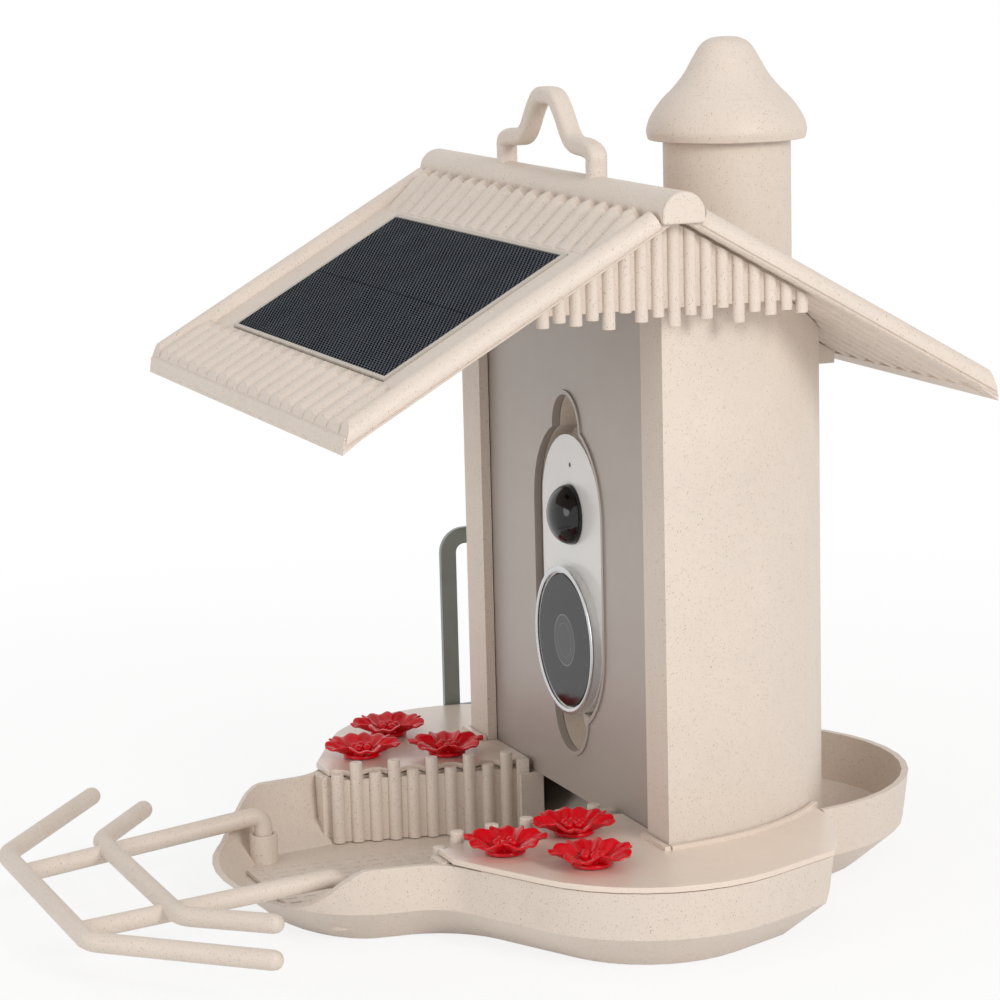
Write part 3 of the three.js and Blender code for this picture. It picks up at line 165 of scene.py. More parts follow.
def linked(name, data):  # a new object, alone in the selection
    piece = bpy.data.objects.new(name, data)
    bpy.context.collection.objects.link(piece)
    pick(piece)
    return piece


def drawn(name, points, edges=(), faces=()):  # a new mesh, left in edit mode with everything selected
    mesh = bpy.data.meshes.new(name)
    mesh.from_pydata(points, edges, faces)
    piece = linked(name, mesh)
    editAll(piece)
    return piece


def copied(piece, name, place=(0, 0, 0), turn=0):
    twin = piece.copy()
    twin.data = piece.data.copy()
    twin.name = name
    bpy.context.collection.objects.link(twin)
    twin.data.transform(Matrix.Translation(place) @ Matrix.Rotation(turn, 4, "Z"))
    return twin


def mirroredX(piece, name):
    twin = copied(piece, name)
    twin.data.transform(Matrix.Scale(-1, 4, (1, 0, 0)))
    twin.data.flip_normals()
    return twin


def block(x, y, z):  # each a pair of ends
    bpy.ops.mesh.primitive_cube_add(size=1, location=[sum(ends) / 2 for ends in (x, y, z)])
    piece = bpy.context.object
    piece.scale = [high - low for low, high in (x, y, z)]
    return settle(piece)


def rod(centre, radius, low, high, sides):
    bpy.ops.mesh.primitive_cylinder_add(vertices=sides, radius=radius, depth=high - low,
                                        location=(*centre, (low + high) / 2))
    return settle(bpy.context.object)


def turned(name, profile, centre, axis="Z", steps=64):  # profile: radius and distance along the axis
    along = Vector((0, 0, 1) if axis == "Z" else (0, 1, 0))
    points = [Vector(centre) + Vector((radius, 0, 0)) + along * reach for radius, reach in profile]
    piece = drawn(name, points, edges=[(i, i + 1) for i in range(len(points) - 1)])
    bpy.ops.mesh.spin(steps=steps, angle=math.tau, center=centre, axis=along)
    return outward(piece)


def profiled(name, outline, low, high):  # an outline of y and z pairs, pulled along x
    piece = drawn(name, [(low, y, z) for y, z in outline], faces=[list(range(len(outline)))])
    bpy.ops.mesh.extrude_region_move(TRANSFORM_OT_translate={"value": (high - low, 0, 0)})
    return outward(piece)


tube = {"sides": 6, "capTurns": (0, 0.25, 0.5, 0.8, 1.15, math.pi / 2), "leastEnd": 0.02, "legShare": 0.48}


def roundedEnds(trail, radius):  # half a ball at each end of a list of points and widths
    for end, beside in ((0, 1), (-1, -2)):
        tip = trail[end][0]
        inward = (trail[beside][0] - tip).normalized()
        caps = [(tip + inward * radius * (1 - math.cos(turn)), max(math.sin(turn), tube["leastEnd"]))
                for turn in tube["capTurns"]]
        trail = caps + trail[1:] if end == 0 else trail[:-1] + caps[::-1]
    return trail


def swept(name, points, radius=0, section=None):  # a round bar, or a section's loop, along the points
    curve = bpy.data.curves.new(name, "CURVE")
    curve.dimensions = "3D"
    spline = curve.splines.new("POLY")
    trail = [(Vector(p), 1.0) for p in points]
    if section:
        curve.bevel_mode = "OBJECT"
        curve.bevel_object = section
    else:
        trail = roundedEnds(trail, radius)
        curve.bevel_depth = radius
        curve.bevel_resolution = tube["sides"]
    spline.points.add(len(trail) - 1)
    for point, (spot, share) in zip(spline.points, trail):
        point.co = (*spot, 1)
        point.radius = share
    curve.use_fill_caps = True
    linked(name, curve)
    bpy.ops.object.convert(target="MESH")
    return outward(bpy.context.object)


def bent(points, radius, steps=8):  # a polyline whose corners are rounded
    spots = [Vector(p) for p in points]
    trail = [spots[0]]
    for before, corner, after in zip(spots, spots[1:], spots[2:]):
        back, onward = before - corner, after - corner
        half = back.angle(onward) / 2
        reach = min(radius / math.tan(half), tube["legShare"] * min(back.length, onward.length))
        start, end = corner + back.normalized() * reach, corner + onward.normalized() * reach
        for i in range(steps + 1):
            t = i / steps
            trail.append(start * (1 - t) ** 2 + corner * 2 * t * (1 - t) + end * t ** 2)
    trail.append(spots[-1])
    return trail


def flowing(points, steps):  # a smooth curve through the points
    spots = [Vector(p) for p in points]
    spots = [spots[0] * 2 - spots[1]] + spots + [spots[-1] * 2 - spots[-2]]
    trail = []
    for a, b, c, d in zip(spots, spots[1:], spots[2:], spots[3:]):
        for i in range(steps):
            t = i / steps
            trail.append(0.5 * (2 * b + (c - a) * t + (2 * a - 5 * b + 4 * c - d) * t ** 2
                                + (3 * b - a - 3 * c + d) * t ** 3))
    return trail + [spots[-2]]


copying = {"flatWithin": 0.6, "smoothWithin": 38}  # degrees


def nodeCopy(node, bevel):  # a merged copy of a CAD node, with soft edges
    source = frame["nodes"][node]
    piece = source.copy()
    piece.data = source.data.copy()
    piece.parent = None
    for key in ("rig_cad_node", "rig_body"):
        if key in piece:
            del piece[key]
    piece.name = node + "_dressed"
    bpy.context.collection.objects.link(piece)
    piece.data.materials.clear()
    pick(piece)
    if piece.data.has_custom_normals:
        bpy.ops.mesh.customdata_custom_splitnormals_clear()
    editAll(piece)
    bpy.ops.mesh.remove_doubles(threshold=weld)
    if "lid" not in node:
        bpy.ops.mesh.dissolve_limited(angle_limit=math.radians(copying["flatWithin"]))
    bpy.ops.object.mode_set(mode="OBJECT")
    return evened(smooth(softenEdges(piece, bevel), copying["smoothWithin"]))


def coat(piece, finish):
    piece.data.materials.clear()
    piece.data.materials.append(finish)


def dress(piece, node, finish=None):  # the piece takes the node's place
    coat(piece, finish or finishes[slotOfNode[node]])
    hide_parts(node)
    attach(piece, bodyOfNode[node])


def dressPair(name, node, *pieces):  # pieces of the right side, and their mirror image
    right = smooth(joined(name + "_right", *pieces), 40)
    left = mirroredX(right, name + "_left")
    dress(right, node + "_right")
    dress(left, node + "_left")


# node trees, with arithmetic on their outputs
class Wire:  # a node's output
    def __init__(self, graph, socket):
        self.graph, self.socket = graph, socket

    def beside(self, output):  # another output of the same node
        return Wire(self.graph, self.socket.node.outputs[output])

    def maths(self, operation, *others):
        return self.graph.node("ShaderNodeMath", {"operation": operation}, dict(enumerate((self, *others))))

    def near(self, middle, within):  # 1 where the value lies that close to the middle
        return (self - middle).maths("ABSOLUTE").below(within)


for method, operation in (("__add__", "ADD"), ("__sub__", "SUBTRACT"), ("__mul__", "MULTIPLY"),
                          ("__truediv__", "DIVIDE"), ("below", "LESS_THAN"), ("above", "GREATER_THAN"),
                          ("least", "MINIMUM"), ("most", "MAXIMUM"), ("part", "FRACT")):
    setattr(Wire, method, lambda self, *others, kind=operation: self.maths(kind, *others))


class Graph:  # the node tree of a material or of the world
    def __init__(self, tree, ending):
        self.tree = tree
        tree.nodes.clear()
        self.surface = tree.nodes.new(ending).inputs["Surface"]

    def node(self, kind, settings=None, inputs=None, output=0):
        made = self.tree.nodes.new(kind)
        for key, value in (settings or {}).items():
            setattr(made, key, value)
        for key, value in (inputs or {}).items():
            self.feed(made.inputs[key], value)
        return Wire(self, made.outputs[output])

    def feed(self, socket, value):
        if isinstance(value, Wire):
            self.tree.links.new(value.socket, socket)
        elif socket.type == "RGBA" and len(value) == 3:
            socket.default_value = (*value, 1)
        else:
            socket.default_value = value

    def mixedShaders(self, share, first, second):
        mix = self.node("ShaderNodeMixShader", inputs={0: share, 1: first, 2: second})
        self.feed(self.surface, mix)

    def seenRays(self):  # 1 for the camera's rays and those that reach it by gloss or through glass
        camera = self.node("ShaderNodeLightPath", output="Is Camera Ray")
        return camera.most(camera.beside("Is Glossy Ray")).most(camera.beside("Is Transmission Ray"))


class Finish(Graph):
    def __init__(self, name, **constants):
        self.material = bpy.data.materials.new(name)
        self.material.use_nodes = True
        super().__init__(self.material.node_tree, "ShaderNodeOutputMaterial")
        self.shader = self.node("ShaderNodeBsdfPrincipled")
        self.feed(self.surface, self.shader)
        self.place = self.node("ShaderNodeTexCoord", output="Object")
        self.set(**constants)

    def set(self, **values):  # the shader's sockets, with _ for a space
        for name, value in values.items():
            self.feed(self.shader.socket.node.inputs[name.replace("_", " ")], value)

    def mixed(self, share, first, second):
        return self.node("ShaderNodeMix", {"data_type": "RGBA"}, {0: share, 6: first, 7: second}, 2)

    def mapped(self, **inputs):
        return self.node("ShaderNodeMapping", inputs={"Vector": self.place, **inputs})

    def noise(self, scale, detail=3, rough=0.5, where=None):
        return self.node("ShaderNodeTexNoise", inputs={"Vector": where or self.place, "Scale": scale,
                                                       "Detail": detail, "Roughness": rough})

    def axes(self, where=None):
        x = self.node("ShaderNodeSeparateXYZ", inputs={"Vector": where or self.place})
        return x, x.beside(1), x.beside(2)

    def worn(self, look, wear=None, grain=None):  # roughness that wanders, and a fine relief
        wear, grain = wear or self.noise(*look["wear"]), grain or self.noise(*look["grain"])
        relief = self.node("ShaderNodeBump", inputs={"Height": grain, "Distance": look["depth"],
                                                     "Strength": look["pull"]})
        self.set(Roughness=wear * look["spread"] + (look["roughness"] - look["spread"] / 2), Normal=relief)
        return self.material


def srgb(*channels):  # 0 to 255 as written on screen, to linear
    return tuple(c / 3294.6 if c <= 10.3 else ((c / 255 + 0.055) / 1.055) ** 2.4 for c in channels)


def shades(colour, darker, lighter):
    return [c * darker for c in colour], [min(1, c * lighter) for c in colour]


# each look: wear and grain are the scale and detail of a noise, spread is how far the roughness wanders,
# depth in metres and pull are the relief's, and marks are scale, mark's width, share of cells, turn
speckle = {"marks": ((420, 0.16, 0.4, 0.4), (700, 0.22, 0.5, 1.3), (1150, 0.28, 0.6, 2.2),
                     (1800, 0.36, 0.7, 3)), "squash": (1, 1.5, 0.75), "edge": 0.02, "faint": 0.3,
           "strength": 0.65, "patch": 24, "patchSpread": 1.3, "coarse": (30, 4), "fine": (190, 4, 0.7),
           "fineShare": 0.4, "tones": (0.9, 1.1), "coatRough": 0.25, "wear": (90, 3), "spread": 0.1,
           "grain": (2600, 2), "depth": 0.00006, "pull": 0.6}


def speckledPlastic(name, colour, speck, roughness, coat=0.0, amount=0.75, **changes):
    look = {**speckle, "roughness": roughness, **changes}
    skin = Finish(name, Coat_Weight=coat, Coat_Roughness=look["coatRough"])
    cloud = skin.noise(*look["coarse"]) * (1 - look["fineShare"])
    cloud = cloud + skin.noise(*look["fine"]) * look["fineShare"]
    base = skin.mixed(cloud, *shades(colour, *look["tones"]))
    marks = None
    for scale, size, share, turn in look["marks"]:
        spot = skin.mapped(Scale=look["squash"], Rotation=(turn, turn / 2, turn))
        cell = skin.node("ShaderNodeTexVoronoi", {"feature": "F1"}, {"Vector": spot, "Scale": scale})
        chance, width, depth = skin.axes(cell.beside("Color"))
        mark = (width * size - cell).above(look["edge"]) * chance.below(share)
        mark = mark * (depth * look["strength"] + look["faint"])
        marks = marks.most(mark) if marks else mark
    marks = marks * (skin.noise(look["patch"]) * look["patchSpread"] + look["faint"]).least(1.0)
    skin.set(Base_Color=skin.mixed(marks * amount, base, speck))
    return skin.worn(look)


panel = {"dark": srgb(166, 156, 148), "light": srgb(178, 168, 160), "flake": srgb(200, 194, 188),
         "cloud": 16, "flakes": (3800, 2), "flakeShare": 0.3, "metal": (900, 2), "metalFrom": 0.22,
         "metalSpread": 0.2, "shader": {"Coat_Weight": 0.15, "Coat_Roughness": 0.3}, "wear": (120, 3),
         "roughness": 0.45, "spread": 0.1, "grain": (3000, 2), "depth": 0.00004, "pull": 0.5}


def satinPanel():
    skin = Finish("panel_grey", **panel["shader"])
    colour = skin.mixed(skin.noise(panel["cloud"]), panel["dark"], panel["light"])
    flakes = skin.noise(*panel["flakes"]) * panel["flakeShare"]
    skin.set(Base_Color=skin.mixed(flakes, colour, panel["flake"]),
             Metallic=skin.noise(*panel["metal"]) * panel["metalSpread"] + panel["metalFrom"])
    return skin.worn(panel)


petalRed = {"deep": srgb(196, 0, 14), "bright": srgb(220, 3, 28), "cloud": 90, "wear": (260, 2),
            "roughness": 0.26, "spread": 0.12, "grain": (700, 2), "depth": 0.00008, "pull": 0.4,
            "shader": {"Specular_IOR_Level": 0.22, "Coat_Weight": 0.06, "Coat_Roughness": 0.1}}


def glossyRed():
    skin = Finish("petal_red", **petalRed["shader"])
    skin.set(Base_Color=skin.mixed(skin.noise(petalRed["cloud"]), petalRed["deep"], petalRed["bright"]))
    return skin.worn(petalRed)


plain = {"cloud": (60, 4), "tone": 0.06, "coat": 0.0, "coatRough": 0.08, "wear": (240, 3), "spread": 0.08,
         "grain": (2200, 2), "depth": 0.00004, "pull": 0.5}


def plainPlastic(name, colour, roughness, **changes):
    look = {**plain, "roughness": roughness, **changes}
    skin = Finish(name, Coat_Weight=look["coat"], Coat_Roughness=look["coatRough"])
    tones = shades(srgb(*colour), 1 - look["tone"], 1 + look["tone"])
    skin.set(Base_Color=skin.mixed(skin.noise(*look["cloud"]), *tones))
    return skin.worn(look)


brushed = {"grain": (900, 2), "tones": (0.82, 1.1), "spread": 0.18, "depth": 0.00002, "pull": 0.4}


def brushedMetal(name, colour, roughness, stretch):
    skin = Finish(name, Metallic=1.0)
    grain = skin.noise(*brushed["grain"], where=skin.mapped(Scale=stretch))
    skin.set(Base_Color=skin.mixed(grain, *shades(srgb(*colour), *brushed["tones"])))
    return skin.worn({**brushed, "roughness": roughness}, grain, grain)


zinc = {"dark": srgb(120, 127, 123), "light": srgb(148, 155, 151), "crystal": srgb(172, 178, 175),
        "cloud": (45, 5, 0.6), "crystals": 160, "crystalShare": 0.25, "shader": {"Metallic": 0.75},
        "roughness": 0.425, "spread": 0.25, "grain": (900, 3), "depth": 0.00004, "pull": 0.4}


def zincSteel():
    skin = Finish("zinc_steel", **zinc["shader"])
    cloud = skin.noise(*zinc["cloud"])
    crystals = skin.node("ShaderNodeTexVoronoi", {"feature": "SMOOTH_F1"},
                         {"Vector": skin.place, "Scale": zinc["crystals"]})
    colour = skin.mixed(cloud, zinc["dark"], zinc["light"])
    skin.set(Base_Color=skin.mixed(crystals * zinc["crystalShare"], colour, zinc["crystal"]))
    return skin.worn(zinc, cloud)


# circles on the window: radius, half the line's width in millimetres, strength
window = {"disc": 9.3, "rim": (9.3, 0.22, 1), "inner": (6.2, 0.12, 0.5), "dots": (20.4, 0.3, 0.7),
          "dotCount": 12, "dotTurn": 0.02, "lineShare": 0.75, "glass": srgb(16, 17, 18),
          "middle": srgb(66, 67, 69), "line": srgb(132, 134, 135), "haze": srgb(34, 35, 37),
          "hazeScale": 70, "hazeShare": 0.15, "shader": {"Specular_IOR_Level": 0.22}, "wear": (300, 2),
          "roughness": 0.085, "spread": 0.05, "grain": (2500, 2), "depth": 0.00001, "pull": 0.2}


def frontGlass():
    skin = Finish("window_glass", **window["shader"])
    x, y, z = skin.axes()
    up = z - shared["windowZ"] * mm
    distance = (x * x + up * up).maths("SQRT")
    rim, inner, dots = (distance.near(radius * mm, width * mm) * strength
                        for radius, width, strength in (window[key] for key in ("rim", "inner", "dots")))
    around = (up.maths("ARCTAN2", x) * (window["dotCount"] / math.tau)).part()
    lines = rim.most(inner).most(dots * around.near(0.5, window["dotTurn"])) * window["lineShare"]
    shade = skin.mixed(distance.below(window["disc"] * mm), window["glass"], window["middle"])
    shade = skin.mixed(lines, shade, window["line"])
    haze = skin.noise(window["hazeScale"]) * window["hazeShare"]
    skin.set(Base_Color=skin.mixed(haze, shade, window["haze"]))
    return skin.worn(window)


# millimetres; dashes and seams take shares of their pitch, and a seam parts the strips across x
weave = {"pitch": 1.4, "row": 2.1, "dash": 0.3, "dashWidth": 0.17, "edge": 82, "strip": 41, "seam": 0.4965,
         "seamShare": 0.55, "crossAt": 70, "cross": 0.25, "cloud": (60, 4), "deep": srgb(18, 19, 22),
         "dark": srgb(28, 30, 34), "thread": srgb(112, 117, 124), "bright": srgb(142, 148, 156),
         "seamColour": srgb(14, 15, 18), "roughness": 0.56, "spread": 0.12, "depth": 0.00012, "pull": 0.5}


def wovenCells():
    skin = Finish("cell_weave", Specular_IOR_Level=0.0)
    spot = skin.mapped(Location=(0, 0, shared["ridge"] * mm), Rotation=(math.radians(shared["slope"]), 0, 0))
    spot.socket.node.vector_type = "TEXTURE"
    x, y, z = skin.axes(spot)
    column = x / (weave["pitch"] * mm)
    row = y / (weave["row"] * mm) + column.maths("FLOOR") * 0.5
    dash = row.part().near(0.5, weave["dash"]) * column.part().near(0.5, weave["dashWidth"])
    strip = ((x + weave["edge"] * mm) / (weave["strip"] * mm)).part()
    seams = (strip - 0.5).maths("ABSOLUTE").above(weave["seam"])
    seams = seams.most(y.near(-weave["crossAt"] * mm, weave["cross"] * mm)) * weave["seamShare"]
    cloud = skin.noise(*weave["cloud"])
    ground = skin.mixed(cloud, weave["deep"], weave["dark"])
    threads = skin.mixed(cloud, weave["thread"], weave["bright"])
    skin.set(Base_Color=skin.mixed(seams, skin.mixed(dash, ground, threads), weave["seamColour"]))
    return skin.worn(weave, dash, dash)


board = {"acrossPitch": 3, "across": 0.12, "upPitch": 4, "up": 0.08, "trackShare": 0.5,
         "green": srgb(24, 82, 48), "track": srgb(58, 128, 76), "wear": (200, 2), "roughness": 0.4,
         "spread": 0.1, "depth": 0.00003, "pull": 0.4, "shader": {"Coat_Weight": 0.4, "Coat_Roughness": 0.2}}


def circuitGreen():
    skin = Finish("board_green", **board["shader"])
    x, y, z = skin.axes()
    across = (x / (board["acrossPitch"] * mm)).part().near(0.5, board["across"])
    tracks = across.most((z / (board["upPitch"] * mm)).part().near(0.5, board["up"]))
    skin.set(Base_Color=skin.mixed(tracks * board["trackShare"], board["green"], board["track"]))
    return skin.worn(board, grain=tracks)


finishes = {
    "beige_plastic": speckledPlastic("speckled_beige", srgb(220, 207, 195), srgb(146, 116, 88), 0.5),
    "lid_plastic": speckledPlastic("satin_lid", srgb(228, 212, 198), srgb(168, 144, 122), 0.3, 0.3, 0.4,
                                   depth=0.000008),
    "grey_panel": satinPanel(),
    "flower_red": glossyRed(),
    "camera_white": plainPlastic("camera_white", (232, 232, 231), 0.32, coat=0.35),
    "silver_trim": brushedMetal("trim_silver", (206, 207, 208), 0.26, (1, 30, 1)),
    "dark_window": frontGlass(),
    "black_dome": plainPlastic("dome_black", (9, 9, 10), 0.09, grain=(1800, 2), tone=0.2, depth=0.000004),
    "dark_plastic": plainPlastic("dark_plastic", (36, 36, 38), 0.5, grain=(1600, 2), tone=0.14),
    "solar_cell": wovenCells(),
    "solar_rim": plainPlastic("solar_rim", (192, 184, 174), 0.5),
    "bracket_steel": zincSteel(),
    "screw_steel": brushedMetal("screw_steel", (184, 184, 180), 0.34, (8, 8, 1)),
    "seal_rubber": plainPlastic("seal_rubber", (40, 40, 41), 0.78, grain=(1200, 2), tone=0.12),
    "circuit_board": circuitGreen(),
    "battery_wrap": plainPlastic("battery_wrap", (58, 96, 148), 0.4, coat=0.3, grain=(900, 2), tone=0.1),
}
coverWhite = plainPlastic("cover_white", (206, 203, 198), 0.55)
for node, piece in frame["nodes"].items():
    coat(piece, finishes[slotOfNode[node]])
print("finishes made:", len(finishes))


# camera as fitted to the photograph: metres, degrees, and pixels of a square picture
view = {"place": (1.118514, -0.454873, 0.351251), "azimuth": 67.02, "roll": -1.06,
        "aim": (-0.90313584, 0.38301325, -0.19402706), "focal": 3417.08, "centreX": 608.78, "centreY": 567.85,
        "picture": 1000, "sensor": 36, "near": 0.01}


def makeCamera():
    bpy.ops.object.camera_add(location=view["place"])
    camera = bpy.context.object
    aim = Vector(view["aim"]).normalized()
    angle, roll = math.radians(view["azimuth"]), math.radians(view["roll"])
    flat = Vector((math.cos(angle), math.sin(angle), 0))
    upright = flat.cross(aim).normalized()
    right = (math.cos(roll) * flat + math.sin(roll) * upright).normalized()
    upward = (math.cos(roll) * upright - math.sin(roll) * flat).normalized()
    turn = Matrix((right, upward, -aim)).transposed()
    camera.matrix_world = Matrix.Translation(view["place"]) @ turn.to_4x4()
    camera.data.sensor_width = view["sensor"]
    camera.data.sensor_fit = "HORIZONTAL"
    camera.data.lens = view["focal"] / view["picture"] * view["sensor"]
    camera.data.shift_x = (view["picture"] / 2 - view["centreX"]) / view["picture"]
    camera.data.shift_y = (view["centreY"] - view["picture"] / 2) / view["picture"]
    camera.data.clip_start = view["near"]
    bpy.context.scene.camera = camera


# floor, world and lamps in metres; a shadow shows only near the feeder
stage = {"floor": 14, "drop": 0.0004, "white": 0.94, "roughness": 0.9, "shadowFrom": 0.16, "shadowFade": 0.5,
         "shadow": 0.18, "world": 0.6, "worldTint": (1, 0.99, 0.975)}
lamps = {"key": {"place": (1.6, 0.35, 0.85), "aimZ": 0.12, "size": 0.55, "power": 12.5,
                 "tint": (1, 0.985, 0.96)},
         "fill": {"place": (0.6, -1.9, 0.6), "aimZ": 0.12, "size": 1.1, "power": 7, "tint": (1, 1, 1)},
         "top": {"place": (-0.3, -0.2, 1.9), "aimZ": 0.1, "size": 1.2, "power": 2, "tint": (1, 1, 1)}}


def makeFloor():
    bpy.ops.mesh.primitive_plane_add(size=stage["floor"], location=(0, 0, -stage["drop"]))
    floor = bpy.context.object
    floor.name = "floor"
    skin = Finish("floor_white", Base_Color=[stage["white"]] * 3, Roughness=stage["roughness"])
    x, y, z = skin.axes()
    far = ((x * x + y * y).maths("SQRT") - stage["shadowFrom"]) / stage["shadowFade"]
    share = skin.seenRays() * (far.most(0.0).least(1.0) * stage["shadow"] + (1 - stage["shadow"]))
    glow = skin.node("ShaderNodeEmission", inputs={"Color": (1, 1, 1), "Strength": 1.0})
    skin.mixedShaders(share, skin.shader, glow)
    floor.data.materials.append(skin.material)


def makeWorld():
    world = bpy.data.worlds.new("studio")
    bpy.context.scene.world = world
    world.use_nodes = True
    graph = Graph(world.node_tree, "ShaderNodeOutputWorld")
    soft, white = (graph.node("ShaderNodeBackground", inputs={"Color": colour, "Strength": strength})
                   for colour, strength in ((stage["worldTint"], stage["world"]), ((1, 1, 1), 1.0)))
    graph.mixedShaders(graph.seenRays(), soft, white)


def makeLamps():
    for name, lamp in lamps.items():
        bpy.ops.object.light_add(type="AREA", location=lamp["place"])
        made = bpy.context.object
        made.name = name
        made.data.shape = "DISK"
        made.data.size = lamp["size"]
        made.data.energy = lamp["power"]
        made.data.color = lamp["tint"]
        aim = Vector((0, 0, lamp["aimZ"])) - Vector(lamp["place"])
        made.rotation_euler = aim.to_track_quat("-Z", "Y").to_euler()


makeCamera()
makeFloor()
makeWorld()
makeLamps()
bpy.context.scene.view_settings.view_transform = "Standard"
print("camera, floor and lights placed")


# merged copies of CAD nodes, with the width of their soft edges in millimetres
softEdge = {"base_tray": 0.7, "nectar_lid_right": 0.45, "nectar_lid_left": 0.45, "hopper_shell": 1.0,
            "front_panel": 0.8, "camera_cradle": 0.3, "seed_ramp": 0.3, "mount_bracket": 0.35,
            "solar_frame": 0.25, "rear_roof_lug": 0.5, "solar_junction_box": 0.7, "camera_front_shell": 0.35,
            "camera_back_shell": 0.6, "power_button": 0.2, "usb_cover": 0.25, "chimney_tube": 0.4}
otherFinish = {"camera_cradle": finishes["beige_plastic"], "usb_cover": coverWhite}
rim = {"inner": 57.6, "outer": 68.5, "front": -72.9, "back": -69.7, "foot": 26, "top": 29.75, "round": 0.4}


def withRim(tray):  # the rim under each lid's front tip
    tips = []
    for side in (-1, 1):
        ends = sorted((side * rim["inner"], side * rim["outer"]))
        tip = block(*scaled(ends, (rim["front"], rim["back"]), (rim["foot"], rim["top"])))
        tips.append(softenEdges(tip, rim["round"] * mm))
    return joined("base_tray_rim", tray, *tips)


for node, width in softEdge.items():
    piece = nodeCopy(node, width * mm)
    dress(withRim(piece) if node == "base_tray" else piece, node, otherFinish.get(node))
print("merged copies made")


# perch: chevron bars and rails with round ends
perch = {"radius": 3.4, "railRadius": 3.366, "elbowRound": 5, "bendRound": 14,
         "rail": ((44.3, -101, 7), (44.3, -101, 22.7), (38.3, -193.4, 13.6)),
         "bars": (((115.6, -145, 18.9), (57.6, -193.4, 15.9)), ((82.3, -134, 20.4), (51.4, -160.2, 18.4)))}


def makePerch():
    pieces = []
    for tip, bend in perch["bars"]:
        farBend, farTip = ((-x, y, z) for x, y, z in (bend, tip))
        path = bent(scaled(tip, bend, farBend, farTip), perch["bendRound"] * mm)
        pieces.append(swept("bar", path, perch["radius"] * mm))
    for side in (1, -1):
        spots = scaled(*((side * x, y, z) for x, y, z in perch["rail"]))
        path = bent(spots, perch["elbowRound"] * mm)
        pieces.append(swept("rail", path, perch["railRadius"] * mm))
    dress(smooth(joined("perch_bars", *pieces), 50), "perch")


makePerch()


# picket fences beside the tray; lean is the run of the fence in x and y
fence = {"startX": 41, "leanX": 13, "leanY": -66, "rod": 4.65, "pitch": 7.09, "first": 6, "count": 10,
         "tall": 35.8, "short": 31.5, "board": 32.8, "boardWidth": 4.6, "boardDepth": 2.6, "plate": 1.8,
         "plateTop": 29, "raisedFrom": 45.95, "raisedFoot": 10, "foot": 5.3, "round": 0.35, "boardRound": 0.3,
         "cornerWithin": 4}


def makeFences():
    length = math.hypot(fence["leanX"], fence["leanY"])
    angle = math.atan2(fence["leanY"], fence["leanX"])
    tray = frame["nodes"]["base_tray"].data
    floor = BVHTree.FromPolygons([v.co for v in tray.vertices], [tuple(p.vertices) for p in tray.polygons])

    def along(reach):  # a spot that far along the fence
        return (fence["startX"] + reach * math.cos(angle)) * mm, reach * math.sin(angle) * mm

    def footAt(x, y):  # height of the tray floor, in millimetres
        spot = floor.ray_cast((x, y, fence["plateTop"] * mm), (0, 0, -1))[0]
        return max(fence["foot"], spot.z / mm if spot else fence["raisedFoot"])

    pieces = []
    for i in range(fence["count"]):
        x, y = along(fence["first"] + fence["pitch"] * i)
        top = fence["short"] if i % 2 else fence["tall"]
        picket = rod((x, y), fence["rod"] / 2 * mm, footAt(x, y) * mm, top * mm, 24)
        pieces.append(softenEdges(picket, fence["round"] * mm, 3))
    half, raised, plateTop = fence["boardWidth"] / 2, fence["raisedFrom"], fence["plateTop"]
    for start, end, near, foot, top in ((0, raised, 0, fence["foot"], plateTop),
                                        (raised, length + half, 0, fence["raisedFoot"], plateTop),
                                        (-half, half, -fence["boardDepth"], fence["foot"], fence["board"])):
        plate = block(*scaled((start, end), (near, fence["plate"]), (foot, top)))
        plate.rotation_euler = (0, 0, angle)
        plate.location = (fence["startX"] * mm, 0, 0)
        settle(plate)
        if start == raised:  # its lower corners reach down to the tray's floor
            for vertex in plate.data.vertices:
                atStart = (vertex.co.xy - Vector(along(start))).length < fence["cornerWithin"] * mm
                if vertex.co.z < (foot + top) / 2 * mm:
                    vertex.co.z = footAt(*along(start if atStart else end)) * mm
        pieces.append(softenEdges(plate, fence["boardRound"] * mm))
    dressPair("picket_row", "picket_fence", *pieces)


makeFences()


# drain plate with rows of short slots, whose faces are known by their area
drain = {"halfWidth": 30, "front": -112, "back": -8, "low": 5.3, "thickness": 1.4, "columns": 11, "rows": 15,
         "slotWidth": 1.1, "slotLength": 4.2, "within": 0.2}


def slotEdges(low, high, count, width):  # both ends, and the edges of the slots between them
    middles = [low + (high - low) / count * (i + 0.5) for i in range(count)]
    return [low] + [middle + way * width / 2 for middle in middles for way in (-1, 1)] + [high]


def makeDrain():
    across = slotEdges(-drain["halfWidth"], drain["halfWidth"], drain["columns"], drain["slotWidth"])
    along = slotEdges(drain["front"], drain["back"], drain["rows"], drain["slotLength"])
    cellsX, cellsY = len(across) - 1, len(along) - 1
    bpy.ops.mesh.primitive_grid_add(x_subdivisions=cellsX, y_subdivisions=cellsY, size=1, location=(0, 0, 0))
    plate = bpy.context.object
    top, hole = drain["low"] + drain["thickness"], drain["slotWidth"] * drain["slotLength"]
    for vertex in plate.data.vertices:
        column, row = round((vertex.co.x + 0.5) * cellsX), round((vertex.co.y + 0.5) * cellsY)
        vertex.co, = scaled((across[column], along[row], top))
    chooseFaces(plate, lambda face: abs(face.area / mm ** 2 - hole) < drain["within"])
    bpy.ops.mesh.delete(type="FACE")
    bpy.ops.object.mode_set(mode="OBJECT")
    addModifier(plate, "SOLIDIFY", thickness=drain["thickness"] * mm, offset=-1)
    plate.name = "slotted_plate"
    dress(smooth(outward(plate), 30), "drain_grid")


makeDrain()
print("perch, fences and drain made")


